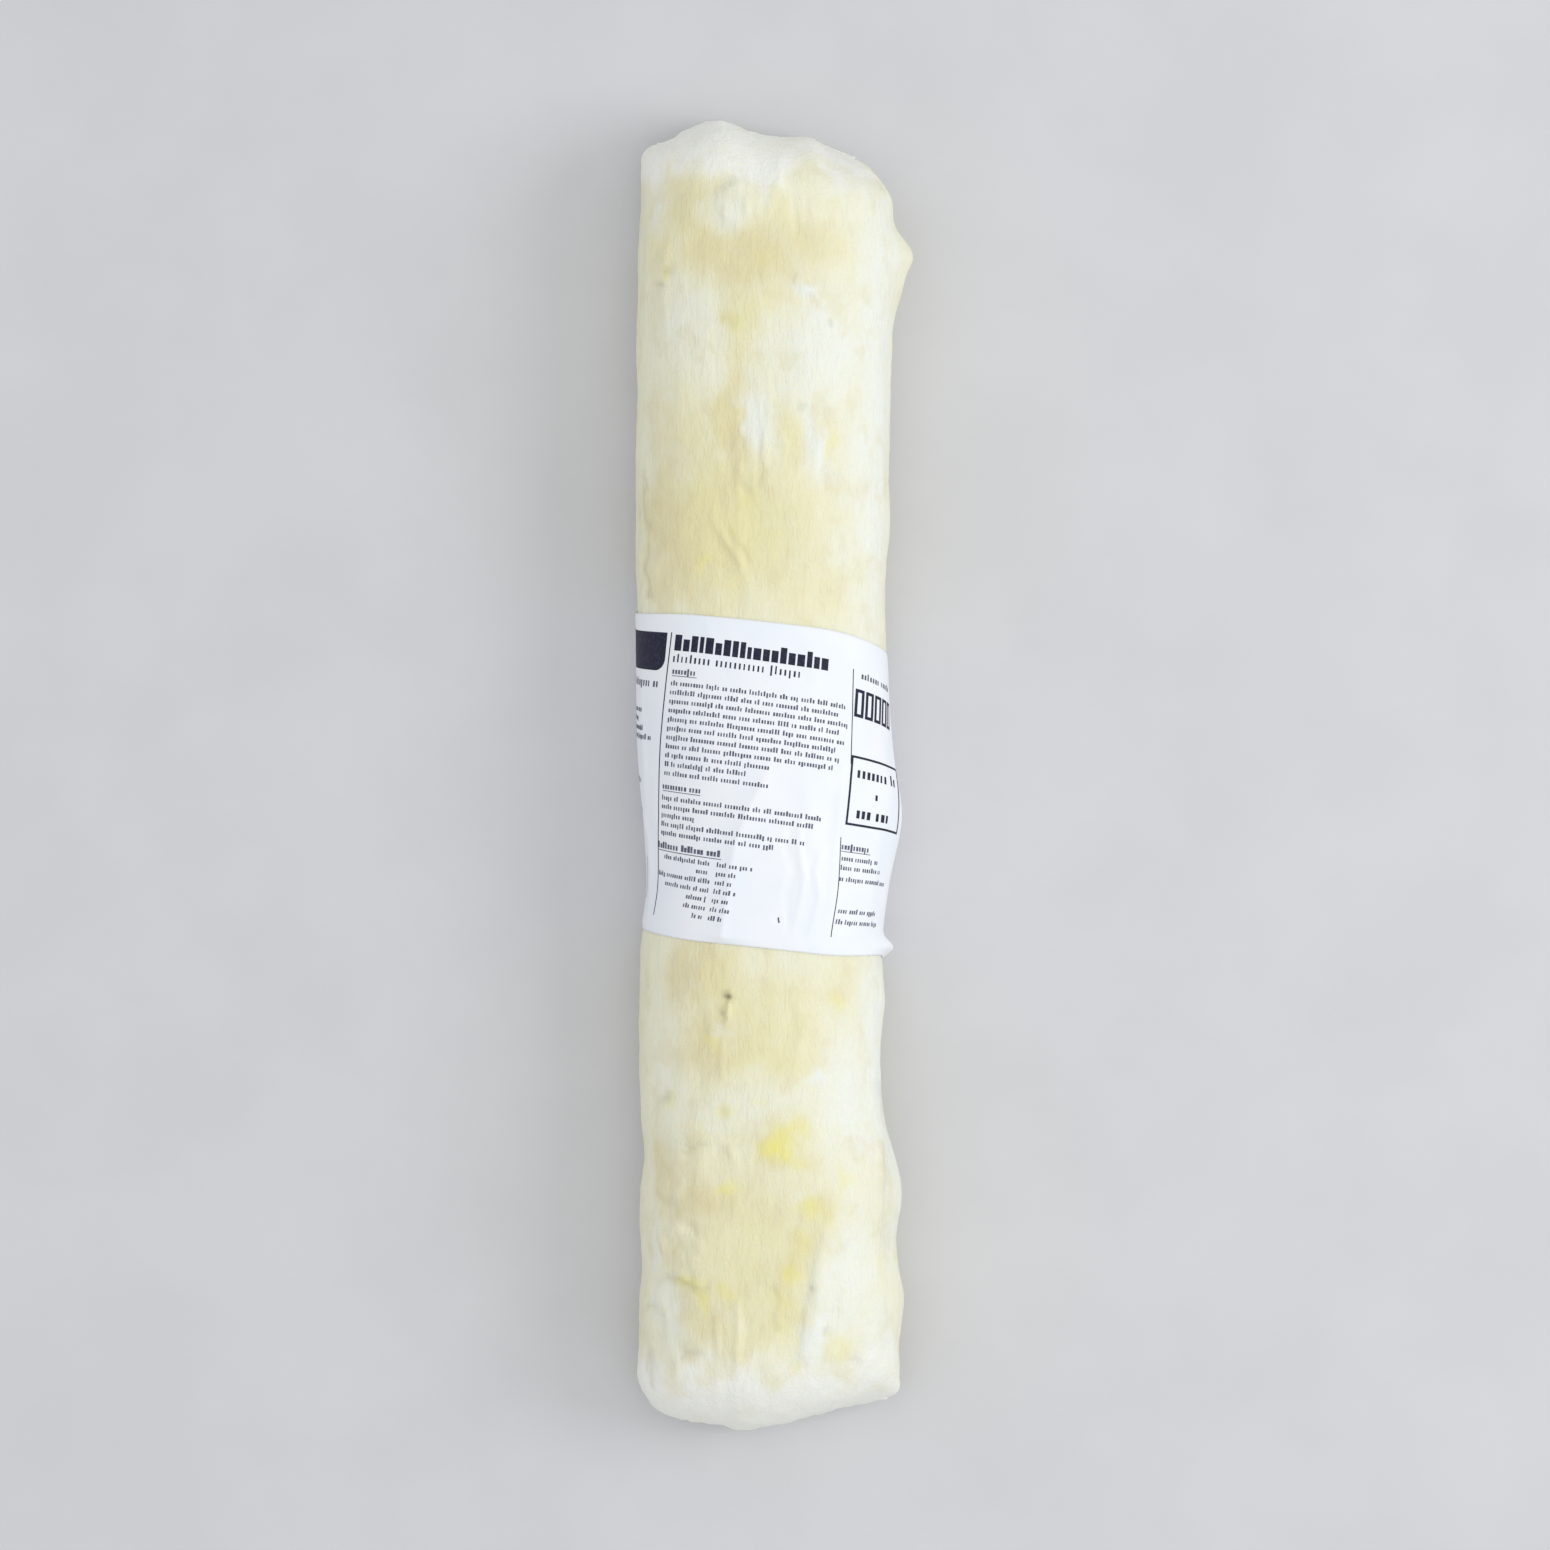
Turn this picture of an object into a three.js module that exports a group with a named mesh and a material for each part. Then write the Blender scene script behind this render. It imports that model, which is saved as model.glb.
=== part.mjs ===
// An unbaked, frozen apricot strudel: a long roll of thin dough round a fruit filling, pressed shut at
// both ends and lying on its flat underside, with a paper label wrapped round its middle.
// Millimetres and radians. +Z is up, +Y runs along the roll, and the origin is under the middle of the
// roll, on the table. An angle runs round the roll from +X, over the crown at a quarter turn.

import * as THREE from "three";

// The roll
const LENGTH = 420;
const WIDTH = 80.5;
const HEIGHT = 55;
const BELLY = 0.44; // height of the widest point, as a share of the crown's height
const CROWN_POWER = 2.25; // superellipse powers: a round back and a squarer foot
const FOOT_POWER = 3.4;
const FOOT_SINK = 1.6; // how far the round foot would reach under the table, which flattens it
const HALF_LENGTH = LENGTH / 2;
const HALF_WIDTH = WIDTH / 2;

// The roll's two sides seen from above: share of half the length, then left and right side as shares
// of half the width. The roll is drawn in beside the label and swells towards both ends.
const SIDES = [
  [-1.0, -1.085, 1.0],
  [-0.93, -1.088, 1.0],
  [-0.87, -1.068, 0.99],
  [-0.8, -1.066, 1.028],
  [-0.75, -1.05, 0.985],
  [-0.71, -1.06, 0.963],
  [-0.63, -1.07, 1.002],
  [-0.58, -1.043, 0.955],
  [-0.53, -1.066, 0.88],
  [-0.45, -1.078, 0.84],
  [-0.38, -1.076, 0.85],
  [-0.34, -1.074, 0.868],
  [-0.25, -1.055, 0.845],
  [-0.17, -1.005, 0.87],
  [-0.08, -1.03, 0.885],
  [0.05, -1.082, 0.904],
  [0.22, -1.095, 0.88],
  [0.32, -1.11, 0.89],
  [0.39, -1.102, 0.915],
  [0.45, -1.103, 0.905],
  [0.52, -1.098, 0.918],
  [0.67, -1.09, 0.928],
  [0.8, -1.09, 0.938],
  [0.87, -1.07, 0.932],
  [1.0, -1.07, 0.912],
];
// The crown's height along the roll, as a share of HEIGHT
const CROWN = [
  [-1.0, 0.94],
  [-0.78, 1.0],
  [-0.6, 1.02],
  [-0.42, 0.95],
  [-0.2, 0.97],
  [0.05, 0.985],
  [0.28, 0.955],
  [0.5, 0.995],
  [0.74, 1.02],
  [1.0, 0.95],
];

// The pressed ends: each end line is seen from above, from the left side to the right, as shares of
// half the width and of half the length. The back falls to it in a round shoulder, down to a low nose.
const SHOULDER = { length: 31, power: 2.35 }; // power of the superellipse that it follows
const NOSE = { bottom: 3, top: 15 };
const NORTH_END = {
  sign: 1,
  line: [
    [-1.0, 0.965],
    [-0.76, 0.972],
    [-0.64, 0.986],
    [-0.38, 1.0],
    [-0.13, 0.9845],
    [0.1, 0.977],
    [0.37, 0.974],
    [0.5, 0.96],
    [0.75, 0.9425],
    [1.0, 0.922],
  ],
  leftCorner: 5, // radius in plan
  rightCorner: 11,
  layerEdges: [-0.12, 0.46], // where one turned-in layer of dough ends on the next
};
const SOUTH_END = {
  sign: -1,
  line: [
    [-1.0, 0.985],
    [-0.73, 0.989],
    [-0.53, 0.9905],
    [-0.36, 0.993],
    [-0.22, 1.0],
    [0.03, 0.9945],
    [0.27, 0.983],
    [0.6, 0.9655],
    [0.8, 0.957],
    [1.0, 0.951],
  ],
  leftCorner: 16,
  rightCorner: 4,
  layerEdges: [-0.36],
};
const LAYER = { height: 1.1, blur: 0.05 }; // blur is a share of half the width
const PLEATS = { depth: 0.5, waves: 11, unevenness: 4.3, shift: 2 };
const END_RELIEF_GROWS = { out: [0.2, 0.9], height: [0.3, 0.8] }; // shares of the way to the nose, and up

// The last edge of the dough sheet runs low along the right side, where it steps down to the layer
// below it, and stands off in one ear
const LAP = {
  thickness: 1.5,
  angle: THREE.MathUtils.degToRad(-18),
  blur: THREE.MathUtils.degToRad(1.6),
  foot: THREE.MathUtils.degToRad(-42), // the step is gone here
  waves: [
    { depth: 0.05, length: 23, shift: 0 },
    { depth: 0.03, length: 9, shift: 1 },
  ],
};
const EAR = {
  out: 6.8,
  y: 0.792 * HALF_LENGTH,
  angle: THREE.MathUtils.degToRad(-4),
  spreadBelow: THREE.MathUtils.degToRad(4.6),
  spreadAbove: THREE.MathUtils.degToRad(16),
  // Distance from the ear's tip towards +Y, then how far it stands out, as a share
  profile: [
    [-24, 0],
    [-17, 0.2],
    [-10.5, 0.48],
    [-5, 0.7],
    [-2.2, 0.94],
    [0, 1],
    [2.4, 0.84],
    [8.5, 0.16],
    [11.5, 0],
  ],
  lift: { y: 0.754 * HALF_LENGTH, reach: 22 }, // where the dough's edge climbs to the ear
};

// Pieces of fruit that swell under the dough, drawn by a seeded rule
const FRUIT = {
  seed: 4711,
  count: 34,
  reach: 0.9, // share of half the length
  sides: [0.12, 0.88], // shares of the half turn over the back
  radius: [9, 16],
  swell: [0.35, 1.15],
};

// One long fold in the back near the south end, with a valley on its left. Its ridge is a line of
// [x, y], as shares of the half sizes.
const FOLD = {
  line: [
    [0.39, -0.69],
    [0.345, -0.79],
    [0.255, -0.88],
  ],
  height: 1.1,
  radius: 2.8,
  valleyDepth: 0.7,
  valleyOffset: -5,
  taper: 0.08, // share of its length that the line's ends keep
};
const BACK_STARTS = [0.05, 0.45]; // sines of the angles between which the back's relief grows

// The paper label, 105 mm by 210 mm less its crumpling, is wound over the back a little askew, with
// both of its ends underneath. Along it, places count from the crown, and the right side is positive.
const LABEL = { height: 103.8, length: 210, thickness: 0.5, gap: 0.35, middle: -3, skew: -0.105 };
const LABEL_BEND = { drop: 1.7, reach: 65 };
const LABEL_PINCH = { left: 3, right: 7, starts: 18, full: 56, falls: 60, gone: 95 }; // height lost
const LABEL_BULGE = { out: 4.1, along: 57, alongReach: 17, y: -14.5, yReach: 17 };
const LABEL_CORNER = { out: 3.4, along: 58, alongReach: 11, up: 3.4, reach: 2.6 }; // up from the lower edge
// Under the label the dough is pressed smoother, and its foot is drawn in to keep paper off the table
const PRESSED = { recess: 1.3, smoothing: 0.85, margin: 12, blend: 5 };

// How finely the solids are divided
const RING_POINTS = 58;
const RING_CROWDING = { centre: -0.22, spread: 0.28, gain: 1.6 }; // more points round the lap and the ear
const BODY_STEP = 7.5;
const EAR_STEP = 3.4;
const END_RINGS = 9;
const LABEL_STEPS_ALONG = 54;
const LABEL_STEPS_HIGH = 10;
const LABEL_CORNER_ROWS = [1.7, 3.4, 5.1, 7.5]; // more rows over the lower edge, for the turned-up corner
const ARC_SAMPLES = 720;

const clamp = THREE.MathUtils.clamp;
const lerp = THREE.MathUtils.lerp;
const smooth = (from, to, value) => THREE.MathUtils.smoothstep((value - from) / (to - from), 0, 1);
const bell = (value) => Math.exp(-value * value);

// A smooth curve through a table's rows [place, ..., value in the given column]
function through(table, place, column = 1) {
  const last = table.length - 1;
  const at = clamp(place, table[0][0], table[last][0]);
  let i = 0;
  while (i < last - 1 && at > table[i + 1][0]) i += 1;
  const slope = (k) => {
    const low = table[Math.max(k - 1, 0)];
    const high = table[Math.min(k + 1, last)];
    return (high[column] - low[column]) / (high[0] - low[0]);
  };
  const span = table[i + 1][0] - table[i][0];
  const t = (at - table[i][0]) / span;
  const startPart = (1 + 2 * t) * (1 - t) ** 2 * table[i][column];
  const endPart = t * t * (3 - 2 * t) * table[i + 1][column];
  const slopePart = t * (1 - t) ** 2 * slope(i) - t * t * (1 - t) * slope(i + 1);
  return startPart + endPart + slopePart * span;
}

// A repeatable random draw from 0 to 1
function seededDraw(seed) {
  const multiplier = 16807;
  const modulus = 2147483647;
  let state = seed;
  return () => {
    state = (state * multiplier) % modulus;
    return state / modulus;
  };
}

const draw = seededDraw(FRUIT.seed);
const between = (range) => lerp(range[0], range[1], draw());
const fruit = Array.from({ length: FRUIT.count }, (_, k) => ({
  y: lerp(-1, 1, (k + draw()) / FRUIT.count) * FRUIT.reach * HALF_LENGTH,
  angle: between(FRUIT.sides) * Math.PI,
  radius: between(FRUIT.radius),
  swell: between(FRUIT.swell),
}));

// The y of the label's middle line and half its height, at a place along it
function labelSpan(along) {
  const bend = LABEL_BEND.drop * Math.tanh((along / LABEL_BEND.reach) ** 2);
  const reach = Math.abs(along);
  const pinched =
    smooth(LABEL_PINCH.starts, LABEL_PINCH.full, reach) * smooth(LABEL_PINCH.gone, LABEL_PINCH.falls, reach);
  const pinch = (along < 0 ? LABEL_PINCH.left : LABEL_PINCH.right) * pinched;
  return { middle: LABEL.middle + LABEL.skew * along - bend, half: (LABEL.height - pinch) / 2 };
}

// 1 where the label presses on the roll and 0 away from it, with a margin for its skew
function underLabel(y) {
  const reach = LABEL.height / 2 + PRESSED.margin;
  return smooth(reach + PRESSED.blend, reach, Math.abs(y - LABEL.middle));
}

// A cross-section of the roll: its middle, half width, crown and belly at y
function section(y) {
  const share = y / HALF_LENGTH;
  const left = through(SIDES, share, 1) * HALF_WIDTH;
  const right = through(SIDES, share, 2) * HALF_WIDTH;
  const crown = through(CROWN, share) * HEIGHT;
  return { middle: (left + right) / 2, half: (right - left) / 2, crown, belly: crown * BELLY };
}

// How far a point lies from a line of [x, y] shares, and how far to the right of it
function fromLine(x, y, line) {
  let best = { distance: Infinity, side: 0, share: 0 };
  for (let i = 0; i + 1 < line.length; i += 1) {
    const [ax, ay] = [line[i][0] * HALF_WIDTH, line[i][1] * HALF_LENGTH];
    const [bx, by] = [line[i + 1][0] * HALF_WIDTH, line[i + 1][1] * HALF_LENGTH];
    const length2 = (bx - ax) ** 2 + (by - ay) ** 2;
    const t = clamp(((x - ax) * (bx - ax) + (y - ay) * (by - ay)) / length2, 0, 1);
    const [dx, dy] = [x - lerp(ax, bx, t), y - lerp(ay, by, t)];
    const distance = Math.hypot(dx, dy);
    if (distance < best.distance) {
      best = { distance, side: Math.sign(dx), share: (i + t) / (line.length - 1) };
    }
  }
  return best;
}

function fruitRelief(angle, y, radius) {
  let swell = 0;
  for (const piece of fruit) {
    const dy = (y - piece.y) / piece.radius;
    const da = ((angle - piece.angle) * radius) / piece.radius;
    swell += piece.swell * bell(Math.hypot(dy, da));
  }
  return swell;
}

function foldRelief(x, y) {
  const near = fromLine(x, y, FOLD.line);
  const ends = Math.sqrt(Math.sin(Math.PI * clamp(near.share, FOLD.taper, 1 - FOLD.taper)));
  const offset = near.side * near.distance;
  const ridge = FOLD.height * bell(near.distance / FOLD.radius);
  const valley = FOLD.valleyDepth * bell((offset - FOLD.valleyOffset) / FOLD.radius);
  return ends * (ridge - valley);
}

// The angle of the dough sheet's last edge
function lapEdge(y) {
  const waves = LAP.waves.map(({ depth, length, shift }) => depth * Math.sin(y / length + shift));
  const climb = (EAR.angle - LAP.angle) * bell((y - EAR.lift.y) / EAR.lift.reach);
  return waves.reduce((sum, wave) => sum + wave, LAP.angle + climb);
}

// The step down from the outer dough sheet to the layer below it, and the sheet's ear
function lapRelief(angle, y) {
  const edge = lapEdge(y);
  const below = smooth(edge + LAP.blur, edge - LAP.blur, angle);
  const step = -LAP.thickness * below * smooth(LAP.foot, edge, angle);
  const spread = angle < EAR.angle ? EAR.spreadBelow : EAR.spreadAbove;
  const ear = EAR.out * through(EAR.profile, y - EAR.y) * bell((angle - EAR.angle) / spread);
  return step + ear;
}

// The roll's surface at an angle and a y between the pressed ends
function rollPoint(angle, y) {
  const { middle, half, crown, belly } = section(y);
  const [c, s] = [Math.cos(angle), Math.sin(angle)];
  const up = s > 0;
  const power = up ? CROWN_POWER : FOOT_POWER;
  const rise = up ? crown - belly : belly + FOOT_SINK;
  let radius = (Math.abs(c / half) ** power + Math.abs(s / rise) ** power) ** (-1 / power);
  const wrapped = angle > Math.PI * 1.5 ? angle - 2 * Math.PI : angle;
  const free = 1 - PRESSED.smoothing * underLabel(y);
  radius += free * lapRelief(wrapped, y);
  if (up) {
    const overBack = smooth(...BACK_STARTS, s);
    radius += free * overBack * fruitRelief(angle, y, radius);
    radius += free * overBack * foldRelief(middle + radius * c, y);
  }
  const floor = PRESSED.recess * underLabel(y);
  return { x: middle + radius * c, z: Math.max(belly + radius * s, floor) };
}

// Distance of a pressed end's outline from the middle of the roll, at a share of the half width
function endLine(end, share) {
  return through(end.line, share) * HALF_LENGTH;
}

// How far a rounded corner draws a side in, at a distance from the end
function cornerInset(corner, distance) {
  const into = clamp(corner - distance, 0, corner);
  return corner - Math.sqrt(corner * corner - into * into);
}

// Turned-in layers and pleats across a pressed end
function endRelief(end, share) {
  const layers = end.layerEdges.reduce(
    (sum, edge) => sum + LAYER.height * smooth(edge + LAYER.blur, edge - LAYER.blur, share),
    0,
  );
  const unevenness = Math.sin(PLEATS.unevenness * share + PLEATS.shift);
  return layers + PLEATS.depth * unevenness * Math.sin(PLEATS.waves * share + end.sign);
}

// A point of a pressed end: turn runs from 0, where the shoulder starts, to a quarter turn at the nose
function endPoint(end, angle, turn) {
  const start = HALF_LENGTH - SHOULDER.length;
  const out = Math.sin(turn) ** (2 / SHOULDER.power);
  const up = Math.max(Math.cos(turn), 0) ** (2 / SHOULDER.power);
  const nearby = end.sign * (start + SHOULDER.length * out);
  const base = rollPoint(angle, nearby);
  const { middle, half, crown } = section(nearby);
  const leftInset = cornerInset(end.leftCorner, (endLine(end, -1) - start) * (1 - out));
  const rightInset = cornerInset(end.rightCorner, (endLine(end, 1) - start) * (1 - out));
  const across = (base.x - middle + half) / (2 * half);
  const x = lerp(middle - half + leftInset, middle + half - rightInset, across);
  const share = (x - middle) / half;
  const height = base.z / crown;
  const top = lerp(NOSE.top, crown, up);
  const bottom = NOSE.bottom * (1 - up) ** 3;
  const grown = smooth(...END_RELIEF_GROWS.out, out) * smooth(...END_RELIEF_GROWS.height, height);
  const relief = endRelief(end, share) * grown;
  const along = lerp(start, endLine(end, share), out);
  return new THREE.Vector3(x, end.sign * along, lerp(bottom, top, height) + relief);
}

// The angles of a ring's points, closer together round the lap and the ear
function ringAngles() {
  const { centre, spread, gain } = RING_CROWDING;
  const samples = ARC_SAMPLES;
  const sums = [0];
  for (let k = 0; k < samples; k += 1) {
    const angle = -Math.PI / 2 + (2 * Math.PI * (k + 0.5)) / samples;
    sums.push(sums[k] + 1 + gain * bell((angle - centre) / spread));
  }
  return Array.from({ length: RING_POINTS }, (_, k) => {
    const wanted = (sums[samples] * k) / RING_POINTS;
    let i = 0;
    while (sums[i + 1] < wanted) i += 1;
    const part = (wanted - sums[i]) / (sums[i + 1] - sums[i]);
    const angle = -Math.PI / 2 + (2 * Math.PI * (i + part)) / samples;
    return angle < 0 ? angle + 2 * Math.PI : angle;
  });
}

// Where the rings of the roll's body lie, closer together along the ear
function bodyPlaces() {
  const end = HALF_LENGTH - SHOULDER.length;
  const earStarts = EAR.y + EAR.profile[0][0];
  const places = [];
  let y = -end;
  while (y < end - EAR_STEP / 2) {
    places.push(y);
    y += y > earStarts ? EAR_STEP : BODY_STEP;
  }
  return [...places, end];
}

// Faces that close a ring: a strip from its left to its right side, between its lower and upper chain
function capFaces(ring, offset, outward) {
  const count = ring.length;
  const place = (index) => ring[index % count].x;
  const indices = ring.map((_, index) => index);
  const left = indices.reduce((best, index) => (place(index) < place(best) ? index : best));
  const right = indices.reduce((best, index) => (place(index) > place(best) ? index : best));
  const lowerCount = (right - left + count) % count;
  const upperCount = count - lowerCount;
  const faces = [];
  let lower = 0;
  let upper = 0;
  while (lower < lowerCount || upper < upperCount) {
    const low = left + lower;
    const high = left + count - upper;
    const lowerIsNext = upper === upperCount || (lower < lowerCount && place(low + 1) < place(high - 1));
    const next = lowerIsNext ? low + 1 : high - 1;
    const face = [low, next, high].map((index) => offset + (index % count));
    if (new Set(face).size === 3) faces.push(...(outward < 0 ? face : face.reverse()));
    if (lowerIsNext) lower += 1;
    else upper += 1;
  }
  return faces;
}

// A closed surface from rings of equal length that run towards +Y, with both end rings capped
function loft(rings) {
  const count = rings[0].length;
  const positions = rings.flat().flatMap((point) => [point.x, point.y, point.z]);
  const faces = [];
  for (let j = 0; j + 1 < rings.length; j += 1) {
    for (let i = 0; i < count; i += 1) {
      const [a, b] = [j * count + i, j * count + ((i + 1) % count)];
      faces.push(a, a + count, b + count, a, b + count, b);
    }
  }
  const last = rings.length - 1;
  faces.push(...capFaces(rings[0], 0, -1), ...capFaces(rings[last], last * count, 1));
  return solid(positions, faces);
}

function solid(positions, faces) {
  const geometry = new THREE.BufferGeometry();
  geometry.setAttribute("position", new THREE.Float32BufferAttribute(positions, 3));
  geometry.setIndex(faces);
  geometry.computeVertexNormals();
  return geometry;
}

function strudelGeometry() {
  const angles = ringAngles();
  const quarter = Math.PI / 2;
  const turns = Array.from({ length: END_RINGS }, (_, k) => (quarter * (k + 1)) / END_RINGS);
  const ends = (end) => turns.map((turn) => angles.map((angle) => endPoint(end, angle, turn)));
  const body = bodyPlaces().map((y) =>
    angles.map((angle) => {
      const { x, z } = rollPoint(angle, y);
      return new THREE.Vector3(x, y, z);
    }),
  );
  return loft([...ends(SOUTH_END).reverse(), ...body, ...ends(NORTH_END)]);
}

// Angles at equal steps along the paper, from the crown down both sides
function labelAngles() {
  const walk = (direction) => {
    const steps = [{ along: 0, angle: Math.PI / 2 }];
    let last = rollPoint(Math.PI / 2, LABEL.middle);
    for (let k = 1; k <= ARC_SAMPLES / 2; k += 1) {
      const angle = Math.PI / 2 + (direction * 2 * Math.PI * k) / ARC_SAMPLES;
      const next = rollPoint((angle + 2 * Math.PI) % (2 * Math.PI), LABEL.middle);
      const along = steps[k - 1].along + Math.hypot(next.x - last.x, next.z - last.z);
      steps.push({ along, angle });
      last = next;
    }
    return steps;
  };
  const sides = { right: walk(-1), left: walk(1) };
  return (along) => {
    const steps = along > 0 ? sides.right : sides.left;
    const wanted = Math.abs(along);
    let i = 0;
    while (i < steps.length - 2 && steps[i + 1].along < wanted) i += 1;
    const part = (wanted - steps[i].along) / (steps[i + 1].along - steps[i].along);
    return lerp(steps[i].angle, steps[i + 1].angle, part);
  };
}

// How far the paper stands off the dough in its puffed side and its turned-up corner
function standOff(along, y, fromSouthEdge) {
  const near = (feature) => bell((along - feature.along) / feature.alongReach);
  const puffed = LABEL_BULGE.out * near(LABEL_BULGE) * bell((y - LABEL_BULGE.y) / LABEL_BULGE.yReach);
  const fromCorner = (fromSouthEdge - LABEL_CORNER.up) / LABEL_CORNER.reach;
  return puffed + LABEL_CORNER.out * near(LABEL_CORNER) * bell(fromCorner);
}

// A point of the paper: a distance along it from the crown, a share of its height, and an offset
function labelPoint(along, high, offset, angleAt) {
  const { middle, half } = labelSpan(along);
  const y = middle + half * (2 * high - 1);
  const angle = angleAt(along);
  const turn = THREE.MathUtils.degToRad(1);
  const full = 2 * Math.PI;
  const before = rollPoint((angle - turn + full) % full, y);
  const here = rollPoint((angle + full) % full, y);
  const after = rollPoint((angle + turn + full) % full, y);
  const [tx, tz] = [after.x - before.x, after.z - before.z];
  const length = Math.hypot(tx, tz);
  const out = offset + standOff(along, y, 2 * half * high);
  return new THREE.Vector3(here.x + (tz / length) * out, y, here.z - (tx / length) * out);
}

// Where the paper's rows of points lie, as shares of its height from the lower edge
function labelRows() {
  const even = Array.from({ length: LABEL_STEPS_HIGH + 1 }, (_, j) => j / LABEL_STEPS_HIGH);
  const close = LABEL_CORNER_ROWS.map((up) => up / LABEL.height);
  return [...even, ...close].sort((a, b) => a - b);
}

// A thin curved solid: two skins that are divided alike, joined round their rim
function labelGeometry() {
  const angleAt = labelAngles();
  const rows = labelRows();
  const across = rows.length;
  const skinSize = (LABEL_STEPS_ALONG + 1) * across;
  const positions = [];
  for (const offset of [LABEL.gap, LABEL.gap + LABEL.thickness]) {
    for (let i = 0; i <= LABEL_STEPS_ALONG; i += 1) {
      const along = (i / LABEL_STEPS_ALONG - 0.5) * LABEL.length;
      for (const high of rows) {
        const point = labelPoint(along, high, offset, angleAt);
        positions.push(point.x, point.y, point.z);
      }
    }
  }
  const faces = [];
  const quad = (a, b, c, d) => faces.push(a, b, c, a, c, d);
  const id = (i, j, skin) => skin * skinSize + i * across + j;
  const top = across - 1;
  for (let i = 0; i < LABEL_STEPS_ALONG; i += 1) {
    for (let j = 0; j < top; j += 1) {
      quad(id(i, j, 1), id(i + 1, j, 1), id(i + 1, j + 1, 1), id(i, j + 1, 1));
      const [a, b, c, d] = [id(i, j, 0), id(i + 1, j, 0), id(i + 1, j + 1, 0), id(i, j + 1, 0)];
      faces.push(a, c, b, a, d, c);
    }
    quad(id(i, 0, 0), id(i + 1, 0, 0), id(i + 1, 0, 1), id(i, 0, 1));
    quad(id(i + 1, top, 0), id(i, top, 0), id(i, top, 1), id(i + 1, top, 1));
  }
  for (let j = 0; j < top; j += 1) {
    quad(id(0, j + 1, 0), id(0, j, 0), id(0, j, 1), id(0, j + 1, 1));
    const last = LABEL_STEPS_ALONG;
    quad(id(last, j, 0), id(last, j + 1, 0), id(last, j + 1, 1), id(last, j, 1));
  }
  return solid(positions, faces);
}

const dough = new THREE.MeshStandardMaterial({ color: 0xece6cd, roughness: 0.75, metalness: 0 });
const paper = new THREE.MeshStandardMaterial({ color: 0xeaf0f5, roughness: 0.85, metalness: 0 });

const strudel = new THREE.Mesh(strudelGeometry(), dough);
strudel.name = "strudel";
const label = new THREE.Mesh(labelGeometry(), paper);
label.name = "label";

// The origin goes under the middle of the whole part's box
const group = new THREE.Group();
group.add(strudel, label);
const box = new THREE.Box3().setFromObject(group);
const centre = box.getCenter(new THREE.Vector3());
group.children.forEach((mesh) => mesh.position.set(-centre.x, -centre.y, -box.min.z));

export default group;
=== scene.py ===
import math

import bpy
import numpy as np
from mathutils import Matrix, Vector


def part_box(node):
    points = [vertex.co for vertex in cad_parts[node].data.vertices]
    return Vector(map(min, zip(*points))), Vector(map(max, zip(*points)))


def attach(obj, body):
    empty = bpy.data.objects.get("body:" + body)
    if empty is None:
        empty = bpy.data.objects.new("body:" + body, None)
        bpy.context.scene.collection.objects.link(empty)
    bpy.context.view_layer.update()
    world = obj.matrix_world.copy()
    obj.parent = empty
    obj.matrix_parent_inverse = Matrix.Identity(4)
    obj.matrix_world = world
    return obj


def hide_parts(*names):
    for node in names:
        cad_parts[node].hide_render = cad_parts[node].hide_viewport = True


# An unbaked, frozen apricot strudel with a paper label round its middle, lying on a pale floor.
# Shapes are worked out in millimetres and become metres when a mesh is made. +Y runs along the roll,
# and an angle runs round it from +X, over the crown at a quarter turn.

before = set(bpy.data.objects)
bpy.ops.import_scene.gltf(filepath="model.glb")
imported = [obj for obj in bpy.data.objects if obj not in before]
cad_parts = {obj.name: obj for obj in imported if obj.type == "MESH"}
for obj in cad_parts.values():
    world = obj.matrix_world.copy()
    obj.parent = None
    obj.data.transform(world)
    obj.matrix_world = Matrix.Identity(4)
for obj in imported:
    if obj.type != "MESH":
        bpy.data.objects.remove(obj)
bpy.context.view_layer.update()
MM = 0.001

# ---- the roll's form, as in the solids

LENGTH = 420
WIDTH = 80.5
HEIGHT = 55
BELLY = 0.44  # height of the widest point, as a share of the crown's height
CROWN_POWER = 2.25
FOOT_POWER = 3.4
FOOT_SINK = 1.6
HALF_LENGTH = LENGTH / 2
HALF_WIDTH = WIDTH / 2

# Share of half the length, then the left and the right side as shares of half the width
SIDES = [
    (-1, -1.085, 1), (-0.93, -1.088, 1), (-0.87, -1.068, 0.99), (-0.8, -1.066, 1.028),
    (-0.75, -1.05, 0.985), (-0.71, -1.06, 0.963), (-0.63, -1.07, 1.002), (-0.58, -1.043, 0.955),
    (-0.53, -1.066, 0.88), (-0.45, -1.078, 0.84), (-0.38, -1.076, 0.85), (-0.34, -1.074, 0.868),
    (-0.25, -1.055, 0.845), (-0.17, -1.005, 0.87), (-0.08, -1.03, 0.885), (0.05, -1.082, 0.904),
    (0.22, -1.095, 0.88), (0.32, -1.11, 0.89), (0.39, -1.102, 0.915), (0.45, -1.103, 0.905),
    (0.52, -1.098, 0.918), (0.67, -1.09, 0.928), (0.8, -1.09, 0.938), (0.87, -1.07, 0.932),
    (1, -1.07, 0.912),
]
CROWN = [
    (-1, 0.94), (-0.78, 1), (-0.6, 1.02), (-0.42, 0.95), (-0.2, 0.97),
    (0.05, 0.985), (0.28, 0.955), (0.5, 0.995), (0.74, 1.02), (1, 0.95),
]

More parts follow.
